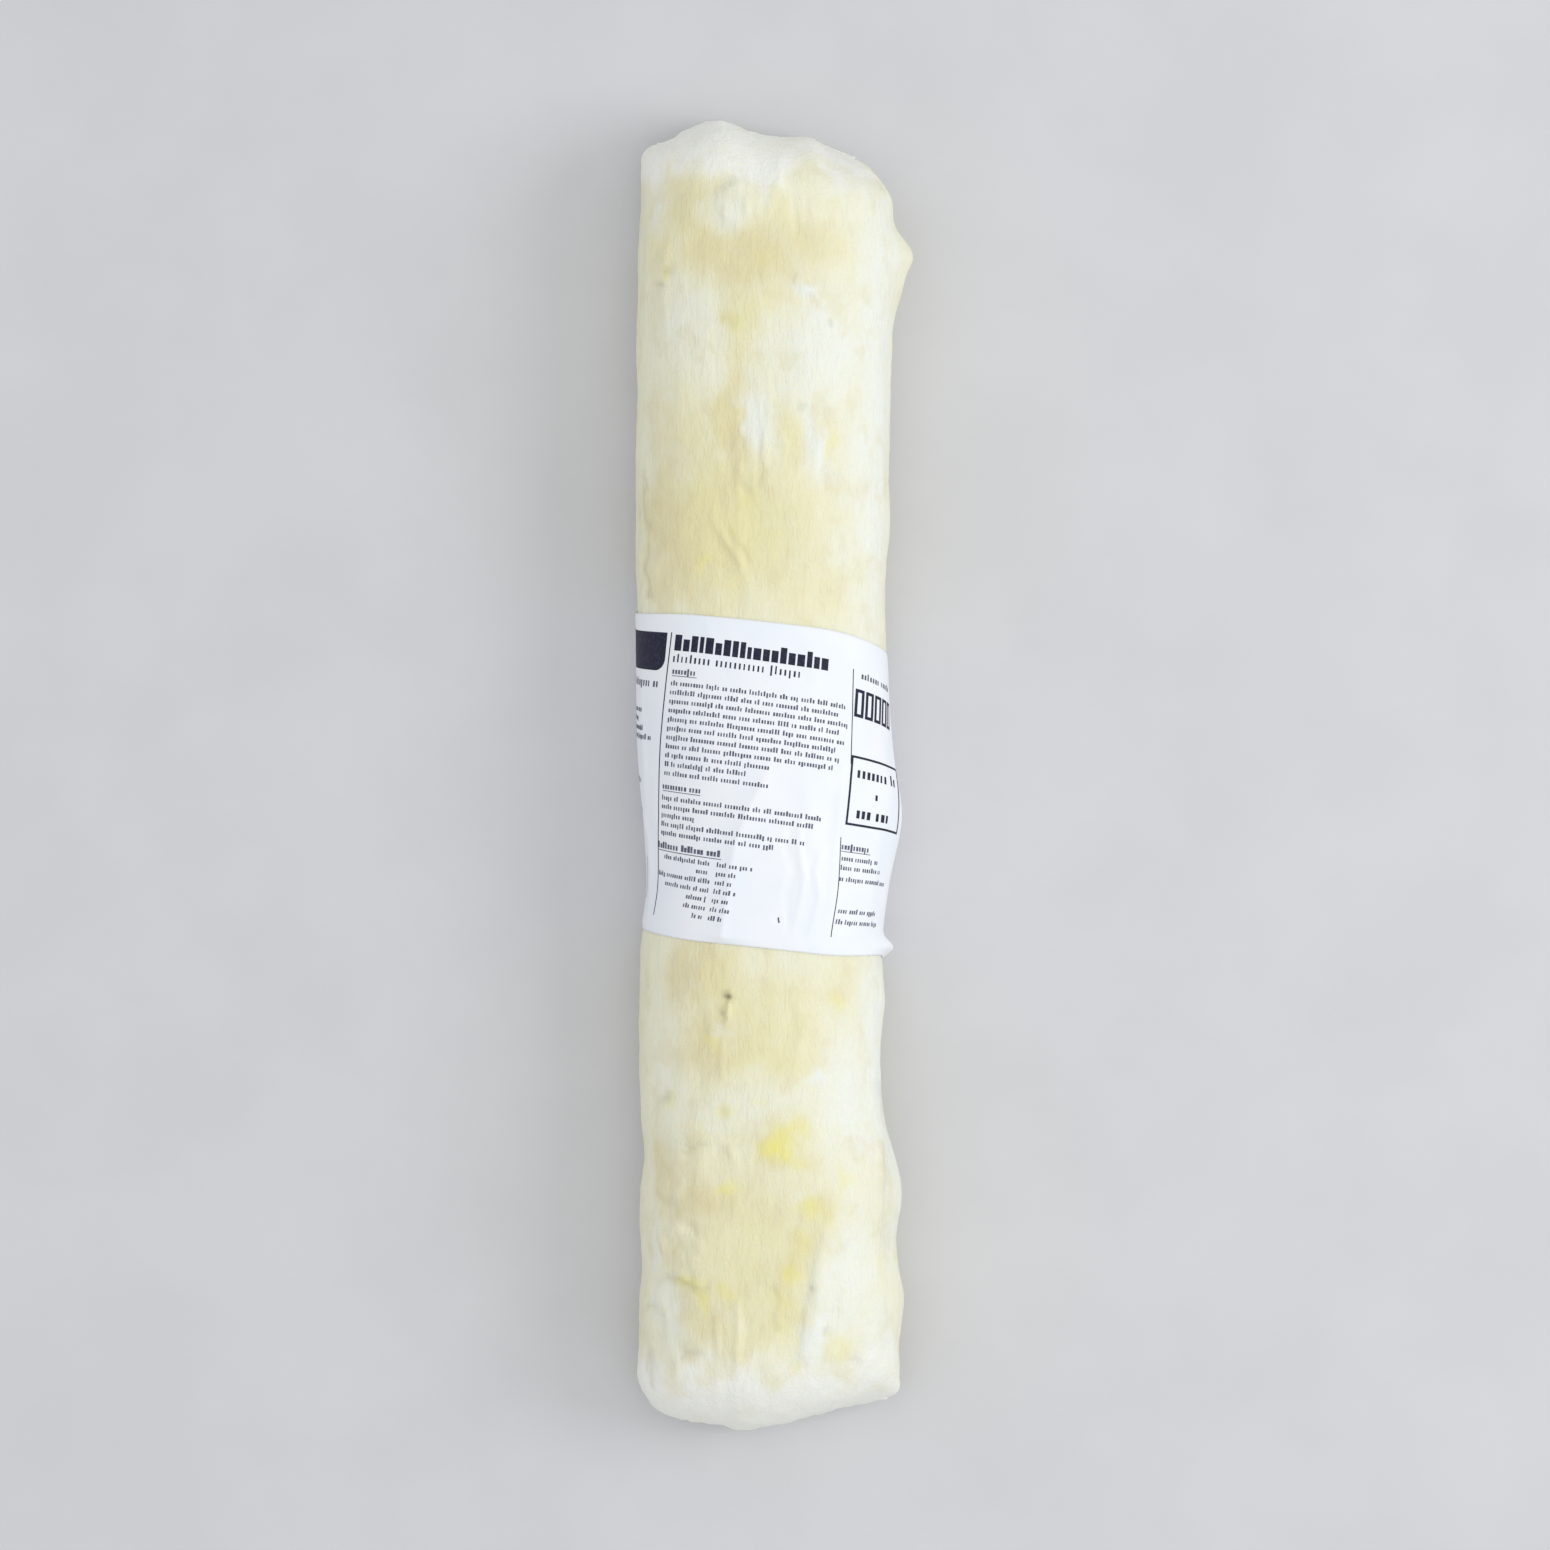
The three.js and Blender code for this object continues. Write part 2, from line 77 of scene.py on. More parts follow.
SHOULDER_LENGTH = 31
SHOULDER_POWER = 2.35
NOSE_BOTTOM = 3
NOSE_TOP = 15
NORTH_END = {
    "sign": 1,
    "line": [
        (-1, 0.965), (-0.76, 0.972), (-0.64, 0.986), (-0.38, 1), (-0.13, 0.9845),
        (0.1, 0.977), (0.37, 0.974), (0.5, 0.96), (0.75, 0.9425), (1, 0.922),
    ],
    "corners": (5, 11),  # how far the left and the right one are rounded
    "layer_edges": [-0.12, 0.46],
}
SOUTH_END = {
    "sign": -1,
    "line": [
        (-1, 0.985), (-0.73, 0.989), (-0.53, 0.9905), (-0.36, 0.993), (-0.22, 1),
        (0.03, 0.9945), (0.27, 0.983), (0.6, 0.9655), (0.8, 0.957), (1, 0.951),
    ],
    "corners": (16, 4),
    "layer_edges": [-0.36],
}
LAYER_HEIGHT = 1.1
LAYER_BLUR = 0.05
PLEAT_DEPTH = 0.5
PLEAT_WAVES = 11
PLEAT_UNEVENNESS = 4.3
PLEAT_SHIFT = 2
END_RELIEF_OUT = (0.2, 0.9)  # how far out, as a share of the shoulder, the end's relief grows
END_RELIEF_UP = (0.3, 0.8)  # and how far up, as a share of the height

LAP_THICKNESS = 1.5
LAP_ANGLE = math.radians(-18)
LAP_BLUR = math.radians(1.6)
LAP_FOOT = math.radians(-42)
LAP_WAVES = [(0.05, 23, 0), (0.03, 9, 1)]  # depth, length, shift
EAR_OUT = 6.8
EAR_Y = 0.792 * HALF_LENGTH
EAR_ANGLE = math.radians(-4)
EAR_SPREAD_BELOW = math.radians(4.6)
EAR_SPREAD_ABOVE = math.radians(16)
# Distance from the ear's tip towards +Y, then how far it stands out, as a share
EAR_PROFILE = [
    (-24, 0), (-17, 0.2), (-10.5, 0.48), (-5, 0.7), (-2.2, 0.94),
    (0, 1), (2.4, 0.84), (8.5, 0.16), (11.5, 0),
]
EAR_LIFT_Y = 0.754 * HALF_LENGTH
EAR_LIFT_REACH = 22

FRUIT_SEED = 4711
FRUIT_COUNT = 34
FRUIT_REACH = 0.9
FRUIT_SIDES = (0.12, 0.88)
FRUIT_RADIUS = (9, 16)
FRUIT_SWELL = (0.35, 1.15)

FOLD_LINE = [(0.39, -0.69), (0.345, -0.79), (0.255, -0.88)]
FOLD_HEIGHT = 1.1
FOLD_RADIUS = 2.8
VALLEY_DEPTH = 0.7
VALLEY_OFFSET = -5
FOLD_TAPER = 0.08
BACK_STARTS = (0.05, 0.45)

LABEL_HEIGHT = 103.8
LABEL_LENGTH = 210
LABEL_GAP = 0.25
LABEL_MIDDLE = -3
LABEL_SKEW = -0.105
LABEL_BEND_DROP = 1.7
LABEL_BEND_REACH = 65
PINCHES = (3, 7)  # what the label's height loses on its left and its right
PINCH_GROWS = (18, 56)
PINCH_FALLS = (95, 60)
# How far the paper stands out, where and over what reach along it, and the same across it
BULGE = (4.1, 57, 17, -14.5, 17)
CORNER = (3.4, 58, 11, 3.4, 2.6)
PRESSED_RECESS = 1.3
PRESSED_SMOOTHING = 0.85
PRESSED_MARGIN = 12
PRESSED_BLEND = 5


def lerp(start, end, share):
    return start + (end - start) * share


def smooth(start, end, value):
    """0 before start, 1 after end, and a smooth rise between them."""
    t = np.clip((value - start) / (end - start), 0, 1)
    return t * t * (3 - 2 * t)


def bell(value):
    return np.exp(-value * value)


def through(table, place, column=1):
    """A smooth curve through a table's rows (place, ..., value in the given column)."""
    rows = np.array(table, float)
    at, value = rows[:, 0], rows[:, column]
    slope = np.empty_like(value)
    slope[1:-1] = (value[2:] - value[:-2]) / (at[2:] - at[:-2])
    slope[0] = (value[1] - value[0]) / (at[1] - at[0])
    slope[-1] = (value[-1] - value[-2]) / (at[-1] - at[-2])
    place = np.clip(place, at[0], at[-1])
    i = np.clip(np.searchsorted(at, place, side="right") - 1, 0, len(at) - 2)
    span = at[i + 1] - at[i]
    t = (place - at[i]) / span
    ends = (1 + 2 * t) * (1 - t) ** 2 * value[i] + t * t * (3 - 2 * t) * value[i + 1]
    return ends + span * (t * (1 - t) ** 2 * slope[i] - t * t * (1 - t) * slope[i + 1])


def seeded_draws(seed):
    """Repeatable random numbers from 0 to 1, the same as the solids use."""
    state = seed
    while True:
        state = state * 16807 % 2147483647
        yield state / 2147483647


def fruit_pieces():
    draws = seeded_draws(FRUIT_SEED)
    for k in range(FRUIT_COUNT):
        y = lerp(-1, 1, (k + next(draws)) / FRUIT_COUNT) * FRUIT_REACH * HALF_LENGTH
        angle = lerp(*FRUIT_SIDES, next(draws)) * math.pi
        yield y, angle, lerp(*FRUIT_RADIUS, next(draws)), lerp(*FRUIT_SWELL, next(draws))


FRUIT = list(fruit_pieces())


def label_span(along):
    """The y of the label's middle line and half its height, at a place along it."""
    bend = LABEL_BEND_DROP * np.tanh((along / LABEL_BEND_REACH) ** 2)
    reach = np.abs(along)
    pinched = smooth(*PINCH_GROWS, reach) * smooth(*PINCH_FALLS, reach)
    height = LABEL_HEIGHT - np.where(along < 0, *PINCHES) * pinched
    return LABEL_MIDDLE + LABEL_SKEW * along - bend, height / 2


def under_label(y):
    reach = LABEL_HEIGHT / 2 + PRESSED_MARGIN
    return smooth(reach + PRESSED_BLEND, reach, np.abs(y - LABEL_MIDDLE))


def section(y):
    """The middle, half width, crown and belly of the roll's cross-section at y."""
    share = y / HALF_LENGTH
    left, right = (through(SIDES, share, column) * HALF_WIDTH for column in (1, 2))
    crown = through(CROWN, share) * HEIGHT
    return (left + right) / 2, (right - left) / 2, crown, crown * BELLY


def fading(share, part):
    """1 in the middle of a line and falling towards both ends, where it stops short by a part."""
    return np.sqrt(np.sin(math.pi * np.clip(share, part, 1 - part)))


def from_line(x, y, line):
    """Distance of points from a line in plan, whether they are right of it, and how far along it."""
    nearest = np.full(np.broadcast(x, y).shape, np.inf)
    side = np.zeros_like(nearest)
    share = np.zeros_like(nearest)
    for i, ((ax, ay), (bx, by)) in enumerate(zip(line, line[1:])):
        length2 = (bx - ax) ** 2 + (by - ay) ** 2
        t = np.clip(((x - ax) * (bx - ax) + (y - ay) * (by - ay)) / length2, 0, 1)
        dx = x - lerp(ax, bx, t)
        distance = np.hypot(dx, y - lerp(ay, by, t))
        closer = distance < nearest
        nearest = np.where(closer, distance, nearest)
        side = np.where(closer, np.sign(dx), side)
        share = np.where(closer, (i + t) / (len(line) - 1), share)
    return nearest, side, share


def fruit_relief(angle, y, radius):
    return sum(
        swell * bell(np.hypot(y - at, (angle - turn) * radius) / reach) for at, turn, reach, swell in FRUIT
    )


def fold_relief(x, y):
    line = [(px * HALF_WIDTH, py * HALF_LENGTH) for px, py in FOLD_LINE]
    distance, side, share = from_line(x, y, line)
    ridge = FOLD_HEIGHT * bell(distance / FOLD_RADIUS)
    valley = VALLEY_DEPTH * bell((side * distance - VALLEY_OFFSET) / FOLD_RADIUS)
    return fading(share, FOLD_TAPER) * (ridge - valley)


def lap_edge(y):
    climb = (EAR_ANGLE - LAP_ANGLE) * bell((y - EAR_LIFT_Y) / EAR_LIFT_REACH)
    waves = sum(depth * np.sin(y / length + shift) for depth, length, shift in LAP_WAVES)
    return LAP_ANGLE + climb + waves


def lap_relief(angle, y):
    edge = lap_edge(y)
    below = smooth(edge + LAP_BLUR, edge - LAP_BLUR, angle)
    step = -LAP_THICKNESS * below * smooth(LAP_FOOT, edge, angle)
    spread = np.where(angle < EAR_ANGLE, EAR_SPREAD_BELOW, EAR_SPREAD_ABOVE)
    return step + EAR_OUT * through(EAR_PROFILE, y - EAR_Y) * bell((angle - EAR_ANGLE) / spread)


def roll_point(angle, y):
    """x and z of the roll's surface, between the pressed ends. Angles run from -pi/2 to 3/2 pi."""
    middle, half, crown, belly = section(y)
    c, s = np.cos(angle), np.sin(angle)
    power = np.where(s > 0, CROWN_POWER, FOOT_POWER)
    rise = np.where(s > 0, crown - belly, belly + FOOT_SINK)
    radius = (np.abs(c / half) ** power + np.abs(s / rise) ** power) ** (-1 / power)
    free = 1 - PRESSED_SMOOTHING * under_label(y)
    radius = radius + free * lap_relief(angle, y)
    over_back = free * smooth(*BACK_STARTS, s)
    radius = radius + over_back * fruit_relief(angle, y, radius)
    radius = radius + over_back * fold_relief(middle + radius * c, y)
    floor = PRESSED_RECESS * under_label(y)
    return middle + radius * c, np.maximum(belly + radius * s, floor)


def end_line(end, share):
    return through(end["line"], share) * HALF_LENGTH


def corner_inset(corner, distance):
    into = np.clip(corner - distance, 0, corner)
    return corner - np.sqrt(corner * corner - into * into)


def end_relief(end, share):
    layers = sum(
        LAYER_HEIGHT * smooth(edge + LAYER_BLUR, edge - LAYER_BLUR, share) for edge in end["layer_edges"]
    )
    unevenness = np.sin(PLEAT_UNEVENNESS * share + PLEAT_SHIFT)
    return layers + PLEAT_DEPTH * unevenness * np.sin(PLEAT_WAVES * share + end["sign"])


def end_point(end, angle, turn):
    """A point of a pressed end: turn runs from 0, where the shoulder starts, to pi/2 at the nose."""
    start = HALF_LENGTH - SHOULDER_LENGTH
    out = np.sin(turn) ** (2 / SHOULDER_POWER)
    up = np.maximum(np.cos(turn), 0) ** (2 / SHOULDER_POWER)
    nearby = end["sign"] * (start + SHOULDER_LENGTH * out)
    base_x, base_z = roll_point(angle, nearby)
    middle, half, crown, _ = section(nearby)
    left, right = (
        corner_inset(corner, (end_line(end, side) - start) * (1 - out))
        for side, corner in zip((-1, 1), end["corners"])
    )
    across = (base_x - middle + half) / (2 * half)
    x = lerp(middle - half + left, middle + half - right, across)
    share = (x - middle) / half
    height = base_z / crown
    top = lerp(NOSE_TOP, crown, up)
    bottom = NOSE_BOTTOM * (1 - up) ** 3
    relief = end_relief(end, share) * smooth(*END_RELIEF_OUT, out) * smooth(*END_RELIEF_UP, height)
    along = lerp(start, end_line(end, share), out)
    return np.stack([x, end["sign"] * along, lerp(bottom, top, height) + relief], axis=-1)


# ---- fine relief of the dough

RING_POINTS = 300
BODY_RINGS = 268
END_RINGS = 26
CAP_RINGS = 5
CAP_CROWN = 0.7  # how far the nose's flat end swells out
MARK_TAPER = 0.03  # ridges and lips stop short by this share of their line
LIP_EDGE = 0.7  # how steeply a lip falls on its open side


class Noise:
    """Smooth seeded noise from -1 to 1, with bumps about as far apart as the sizes in millimetres."""

    CELLS = 32

    def __init__(self, seed):
        self.values = np.random.default_rng(seed).uniform(-1, 1, (self.CELLS,) * 3)

    def __call__(self, points, sizes):
        points = points / np.array(sizes)
        low = np.floor(points).astype(int)
        part = points - low
        part = part * part * (3 - 2 * part)
        total = np.zeros(points.shape[:-1])
        for corner in np.ndindex(2, 2, 2):
            i, j, k = np.moveaxis((low + corner) % self.CELLS, -1, 0)
            weight = np.prod(np.where(corner, part, 1 - part), axis=-1)
            total += weight * self.values[i, j, k]
        return total


lumps, grain, strands, drift = map(Noise, (11, 12, 13, 14))


def crown_height(x, y):
    """Height of the roll's plain back over a place in plan."""
    middle, half, crown, belly = section(y)
    share = np.clip(np.abs(x - middle) / half, 0, 1)
    return belly + (crown - belly) * (1 - share**CROWN_POWER) ** (1 / CROWN_POWER)


def patch(points, x, y, half_width, half_length, soft, turn=0):
    """1 inside an oval patch on the back and 0 outside it. soft is its rim's share, turn is in degrees."""
    dx = points[..., 0] - x
    dy = points[..., 1] - y
    dz = points[..., 2] - crown_height(x, y)
    c, s = math.cos(math.radians(turn)), math.sin(math.radians(turn))
    across = np.hypot(c * dx + s * dy, dz) / half_width
    along = (c * dy - s * dx) / half_length
    return smooth(1 + soft, 1 - soft, np.hypot(across, along))


def ridge(x, y, line, height, radius, taper):
    """A rounded ridge along a line in plan, which fades at both ends."""
    distance, _, share = from_line(x, y, line)
    return height * bell(distance / radius) * fading(share, taper)


def lip(x, y, line, height, reach, side):
    """A soft edge of an upper layer, which lies on the given side of a line in plan (1 is right)."""
    distance, where, share = from_line(x, y, line)
    over = distance * where * side
    rim = np.where(over > 0, bell(over / reach), bell(over / LIP_EDGE))
    return height * rim * fading(share, MARK_TAPER)


# Ridges in the dough: line in plan, height, radius
RIDGES = [
    ([(-19.5, 81), (-16, 75), (-12, 70), (-9, 62)], 0.9, 1.2),
    ([(-36, -123), (-31, -118), (-22, -115.5), (-15, -117), (-12, -124)], 0.8, 1.3),
    ([(-36, -152), (-36, -147), (-31, -144), (-26, -147)], 0.7, 1.1),
    ([(-11.8, -166), (-11.4, -175), (-12.4, -190)], 0.45, 0.9),
    ([(-14.4, -71), (-14.8, -76), (-16, -80), (-20, -81.5)], 0.7, 0.8),
    ([(-16.5, -84), (-17, -90), (-16.5, -97)], 0.5, 0.9),
    ([(-19, 181), (-17, 185), (-13, 187.5), (-8, 188)], 0.9, 0.9),
    ([(-15, 174.5), (-9, 174), (-5.5, 177), (-5, 184)], 0.6, 0.9),
    ([(-9, 179), (-9, 182), (-12, 184)], 0.6, 0.9), ([(24, 182), (23, 172), (26, 160)], 0.5, 1.4),
    ([(-33, 173), (-36, 158), (-34, 140)], 0.6, 1.6), ([(13, 112), (14, 104), (12.5, 95)], 0.5, 1.2),
    ([(20, 82), (24, 72), (22, 60)], 0.5, 1.8), ([(5, -66), (9, -80), (6, -96)], 0.5, 1.8),
    ([(7, 156), (11, 154), (15, 150)], 0.7, 1), ([(-38, -169), (-35, -171), (-33, -176)], 0.6, 1),
    ([(-33, -158), (-27, -161), (-22, -164)], 0.6, 1.2),
    ([(-33, -184), (-30, -188), (-32, -196)], 0.6, 1.2), ([(2, 198), (1, 188), (-4, 176)], 0.5, 1.6),
]
# Edges of upper layers: line in plan, height, reach, side that the layer lies on
LIPS = [
    ([(32.5, -96), (33.4, -110), (34, -130), (33.4, -152)], 0.9, 7, -1),
    ([(34.5, 146), (34, 128), (34.6, 100)], 0.5, 6, -1),
    ([(19, -136), (15, -150), (10.5, -168), (8, -190)], 0.4, 9, 1),
]
# Small hollows: x, y, depth, radius, darkness of the painted shade laid in the hollow, radius of that
# painted shade
PITS = [
    (-15.1, -69.8, 1, 1, 0, 1), (-17.2, -75, 0.6, 1, 0.45, 1), (-34.5, 160.5, 0.9, 1.6, 0.4, 1.6),
    (-36.5, 156, 0.7, 1.3, 0.3, 1.4), (16.8, 144.3, 0.8, 1, 0.35, 1.2), (-14, 144, 0.4, 2, 0.2, 1.8),
    (9.2, 117, 0.6, 0.9, 0.3, 1.1), (11.7, -163.3, 0.9, 1.2, 0.5, 1.2),
    (16.6, -177.5, 0.8, 1.1, 0.35, 1.3), (25.5, -185.5, 0.5, 1.2, 0.25, 1.4),
    (-35, -102, 0.6, 1.2, 0.35, 1.5), (-34, -160.5, 0.8, 1.8, 0.35, 1.8),
    (-28, -183, 0.6, 1.8, 0.3, 1.8), (-39, -170.5, 0.7, 1.4, 0.35, 1.6),
]
BLISTER = (-12, 181, 5.5, 7)
BLISTER_HEIGHT = 1.1
BLISTER_RIM = 0.35
# Patches of relief: x, y, half their width and length, height. Fine wrinkles along the roll:
DRAWN = [(-4, 101, 9, 24, 0.3), (8, 180, 8, 7, 0.3), (17, 106, 5, 16, 0.3), (-14, -178, 9, 14, 0.3)]
# Crumpled dough:
CRUMPLED = [
    (-41, 75, 9, 26, 0.9), (-37, 160, 7, 14, 0.6), (-31, -125, 11, 12, 0.6), (-31, -152, 10, 12, 0.9),
    (-33, -178, 9, 16, 0.9), (-18, -75, 7, 12, 0.5), (-28, -95, 10, 14, 0.4), (8, -178, 10, 12, 0.4),
    (24, -182, 9, 9, 0.4), (-20, 66, 16, 14, 0.35),
]
# Flakes of loose dough:
FLAKES = [
    (11, 154, 3.5, 1.6, 0.5), (7.5, 157, 1.5, 2, 0.5), (-19, -81, 2.4, 1.3, 0.5),
    (-14.6, -75, 0.9, 3.4, 0.5),
]
DRAWN_RIM, CRUMPLED_RIM, FLAKE_RIM = 0.4, 0.5, 0.3
MARKED = (-0.1, 0.25)  # marks show where the dough faces up by more than this
# Relief all over: sizes in millimetres across, along and up, twice, and the weight of the second
WIDE_SIZES = ((14, 20, 14), (6, 8, 6), 0.6)
STRAND_SIZES = ((3, 26, 3), (1.7, 15, 1.7), 0.6)
FINE_SIZES = ((2.4, 3, 2.4), (1.3, 1.6, 1.3), 0.5)
WIDE_HEIGHT = 0.42
STRAND_HEIGHTS = (0.34, 0.1)  # on the sides and over the back
FINE_HEIGHTS = (0.12, 0.07)


def two_noises(noise, points, wider, finer, weight):
    return noise(points, wider) + weight * noise(points, finer)


def creased(noise, points, sizes):
    """Soft lumps with sharp creases between them, from -1 to 1."""
    return 2 * np.sqrt(np.abs(noise(points, sizes))) - 1


def dough_relief(points, upward, covered):
    """Height of the fine relief over the plain form. Under the label the dough is smoother."""
    over_back = smooth(*MARKED, upward)
    strand = two_noises(strands, points, *STRAND_SIZES)
    relief = WIDE_HEIGHT * two_noises(lumps, points, *WIDE_SIZES)
    relief = relief + lerp(*STRAND_HEIGHTS, over_back) * strand
    relief = relief + lerp(*FINE_HEIGHTS, over_back) * two_noises(grain, points, *FINE_SIZES)
    x, y = points[..., 0], points[..., 1]
    marks = sum(ridge(x, y, *row, MARK_TAPER) for row in RIDGES)
    marks = marks + sum(lip(x, y, *row) for row in LIPS)
    crumpled = 0.6 * grain(points, (3.4, 5, 3.4)) + 0.4 * creased(drift, points, (6, 11, 6))
    for rows, rim, texture in (
        (DRAWN, DRAWN_RIM, strand),
        (CRUMPLED, CRUMPLED_RIM, crumpled),
        (FLAKES, FLAKE_RIM, 1),
    ):
        for *place, height in rows:
            marks = marks + patch(points, *place, rim) * height * texture
    roughened = 1 + 0.5 * grain(points, (2, 3.4, 2))
    marks = marks + BLISTER_HEIGHT * patch(points, *BLISTER, BLISTER_RIM) * roughened
    for px, py, depth, radius, *_ in PITS:
        marks = marks - depth * bell(np.hypot(x - px, y - py) / radius)
    return (relief + over_back * marks) * (1 - covered)


# ---- meshes

SCENE = bpy.context.scene
ALL_ROUND = np.linspace(-math.pi / 2, 3 * math.pi / 2, 2881)
FOOT_ENDS = (-0.75, -0.2)  # sines of the angles between which a ring's points get closer
FOOT_DENSITY = 0.3
LAP_DENSITY = 1.1
LAP_CENTRE = -0.22
LAP_REACH = 0.24
COVER_BLUR = 1.5
FLOOR_FADE = (2.5, 0.3)  # the relief fades out between these heights over the floor
CAP_HOLE = 0.4  # width of the strip in a nose's middle, in ring steps


def add_object(name, data, place=(0, 0, 0)):
    obj = bpy.data.objects.new(name, data)
    obj.location = place
    SCENE.collection.objects.link(obj)
    return obj


def make_mesh(name, points, faces, **masks):
    """An object from points in millimetres, with an attribute for each mask."""
    mesh = bpy.data.meshes.new(name)
    mesh.from_pydata(((points + SHIFT) * MM).tolist(), [], faces)
    mesh.validate()
    mesh.shade_smooth()
    for key, values in masks.items():
        data = mesh.attributes.new(key, "FLOAT", "POINT").data
        data.foreach_set("value", values.astype(np.float32))
    return add_object(name, mesh)


def grid_normals(points):
    """Outward normals of a grid of rings, whose second axis closes on itself."""
    along = np.gradient(points, axis=0)
    around = np.roll(points, -1, axis=1) - np.roll(points, 1, axis=1)
    normals = np.cross(along, around)
    return normals / np.maximum(np.linalg.norm(normals, axis=-1, keepdims=True), 1e-9)


def ring_angles():
    """Angles of a ring's points: few under the roll, and more round the edge of the lap."""
    above = smooth(*FOOT_ENDS, np.sin(ALL_ROUND))
    density = FOOT_DENSITY + (1 - FOOT_DENSITY) * above
    density = density + LAP_DENSITY * bell((ALL_ROUND - LAP_CENTRE) / LAP_REACH)
    total = np.concatenate([[0], np.cumsum((density[1:] + density[:-1]) / 2)])
    return np.interp(np.arange(RING_POINTS) / RING_POINTS * total[-1], total, ALL_ROUND)


def along_table():
    """Places along the label, at its middle line, of the angles all round."""
    x, z = roll_point(ALL_ROUND, np.full_like(ALL_ROUND, LABEL_MIDDLE))
    steps = np.hypot(np.diff(x), np.diff(z))
    places = -np.concatenate([[0], np.cumsum(steps)])
    return places - np.interp(math.pi / 2, ALL_ROUND, places)


PLACES_ROUND = along_table()


def label_angle(along):
    return np.interp(along, PLACES_ROUND[::-1], ALL_ROUND[::-1])


def covered_by_label(angle, y):
    """1 under the label and 0 outside it."""
    middle, half = label_span(np.interp(angle, ALL_ROUND, PLACES_ROUND))
    return smooth(COVER_BLUR, -COVER_BLUR, np.abs(y - middle) - half)


def strudel_grid():
    """The dough's surface as rings towards +Y, with the angle and the plain height of each point."""
    angles = ring_angles()[None, :]
    turns = (np.arange(1, END_RINGS + 1) / END_RINGS * math.pi / 2)[:, None]
    body_end = HALF_LENGTH - SHOULDER_LENGTH
    body_y = np.linspace(-body_end, body_end, BODY_RINGS)[:, None] + 0 * angles
    body_x, body_z = roll_point(angles, body_y)
    south = end_point(SOUTH_END, angles, turns)[::-1]
    north = end_point(NORTH_END, angles, turns)
    body = np.stack([body_x, body_y, body_z], axis=-1)
    return np.concatenate([south, body, north]), angles[0]


def frame_shift():
    """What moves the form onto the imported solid, whose box is centred over the origin."""
    form = strudel_grid()[0].reshape(-1, 3)
    low, high = (np.array(corner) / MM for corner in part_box("strudel"))
    shift = (low + high) / 2 - (form.min(0) + form.max(0)) / 2
    shift[2] = 0
    return shift


SHIFT = frame_shift()


def nose_cap(ring, sign):
    """Rings that close a nose: they shrink to its middle height and swell out a little."""
    share = np.arange(1, CAP_RINGS + 1)[:, None] / (CAP_RINGS + CAP_HOLE)
    rings = np.repeat(ring[None], CAP_RINGS, axis=0)
    rings[..., 2] = lerp(ring[:, 2], (NOSE_BOTTOM + NOSE_TOP) / 2, share)
    rings[..., 1] += sign * CAP_CROWN * (1 - (1 - share) ** 2)
    return rings


def grid_index(grid):
    """The number of each point of a grid."""
    return np.arange(grid[..., 0].size).reshape(grid.shape[:2])


def grid_faces(index):
    """Quads over a grid of point numbers."""
    quads = [index[:-1, :-1], index[1:, :-1], index[1:, 1:], index[:-1, 1:]]
    return np.stack(quads, axis=-1).reshape(-1, 4)


def strip_faces(ring, offset, outward):
    """Faces that close a flat ring, in a strip from its left to its right side."""
    count = len(ring)
    x = ring[:, 0]
    left = int(x.argmin())
    low, high, end = left, left + count, left + int(x.argmax() - left) % count
    faces = []
    while low < end or high > end:
        from_low = high == end or (low < end and x[(low + 1) % count] < x[(high - 1) % count])
        following = low + 1 if from_low else high - 1
        face = [offset + index % count for index in (low, following, high)]
        if len(set(face)) == 3:
            faces.append(face if outward < 0 else face[::-1])
        low, high = (following, high) if from_low else (low, following)
    return faces


def strudel_mesh():
    rings, angles = strudel_grid()
    normals = grid_normals(rings)
    covered = covered_by_label(angles, rings[..., 1])
    upward = normals[..., 2]
    relief = dough_relief(rings, upward, covered)
    foot = PRESSED_RECESS * under_label(rings[..., 1])
    on_floor = smooth(*FLOOR_FADE, rings[..., 2] - foot)
    rings = rings + normals * (relief * (1 - on_floor))[..., None]
    rings[..., 2] = np.maximum(rings[..., 2], 0)
    rings = np.concatenate([nose_cap(rings[0], -1)[::-1], rings, nose_cap(rings[-1], 1)])
    index = grid_index(rings)
    faces = grid_faces(np.c_[index, index[:, 0]]).tolist()
    faces += strip_faces(rings[0], 0, -1)
    faces += strip_faces(rings[-1], int(index[-1, 0]), 1)
    points = rings.reshape(-1, 3)
    up = np.pad(upward, ((CAP_RINGS, CAP_RINGS), (0, 0)), mode="edge").ravel()
    return make_mesh("strudel_dough", points, faces, **dough_masks(points, up))


# ---- colour of the dough

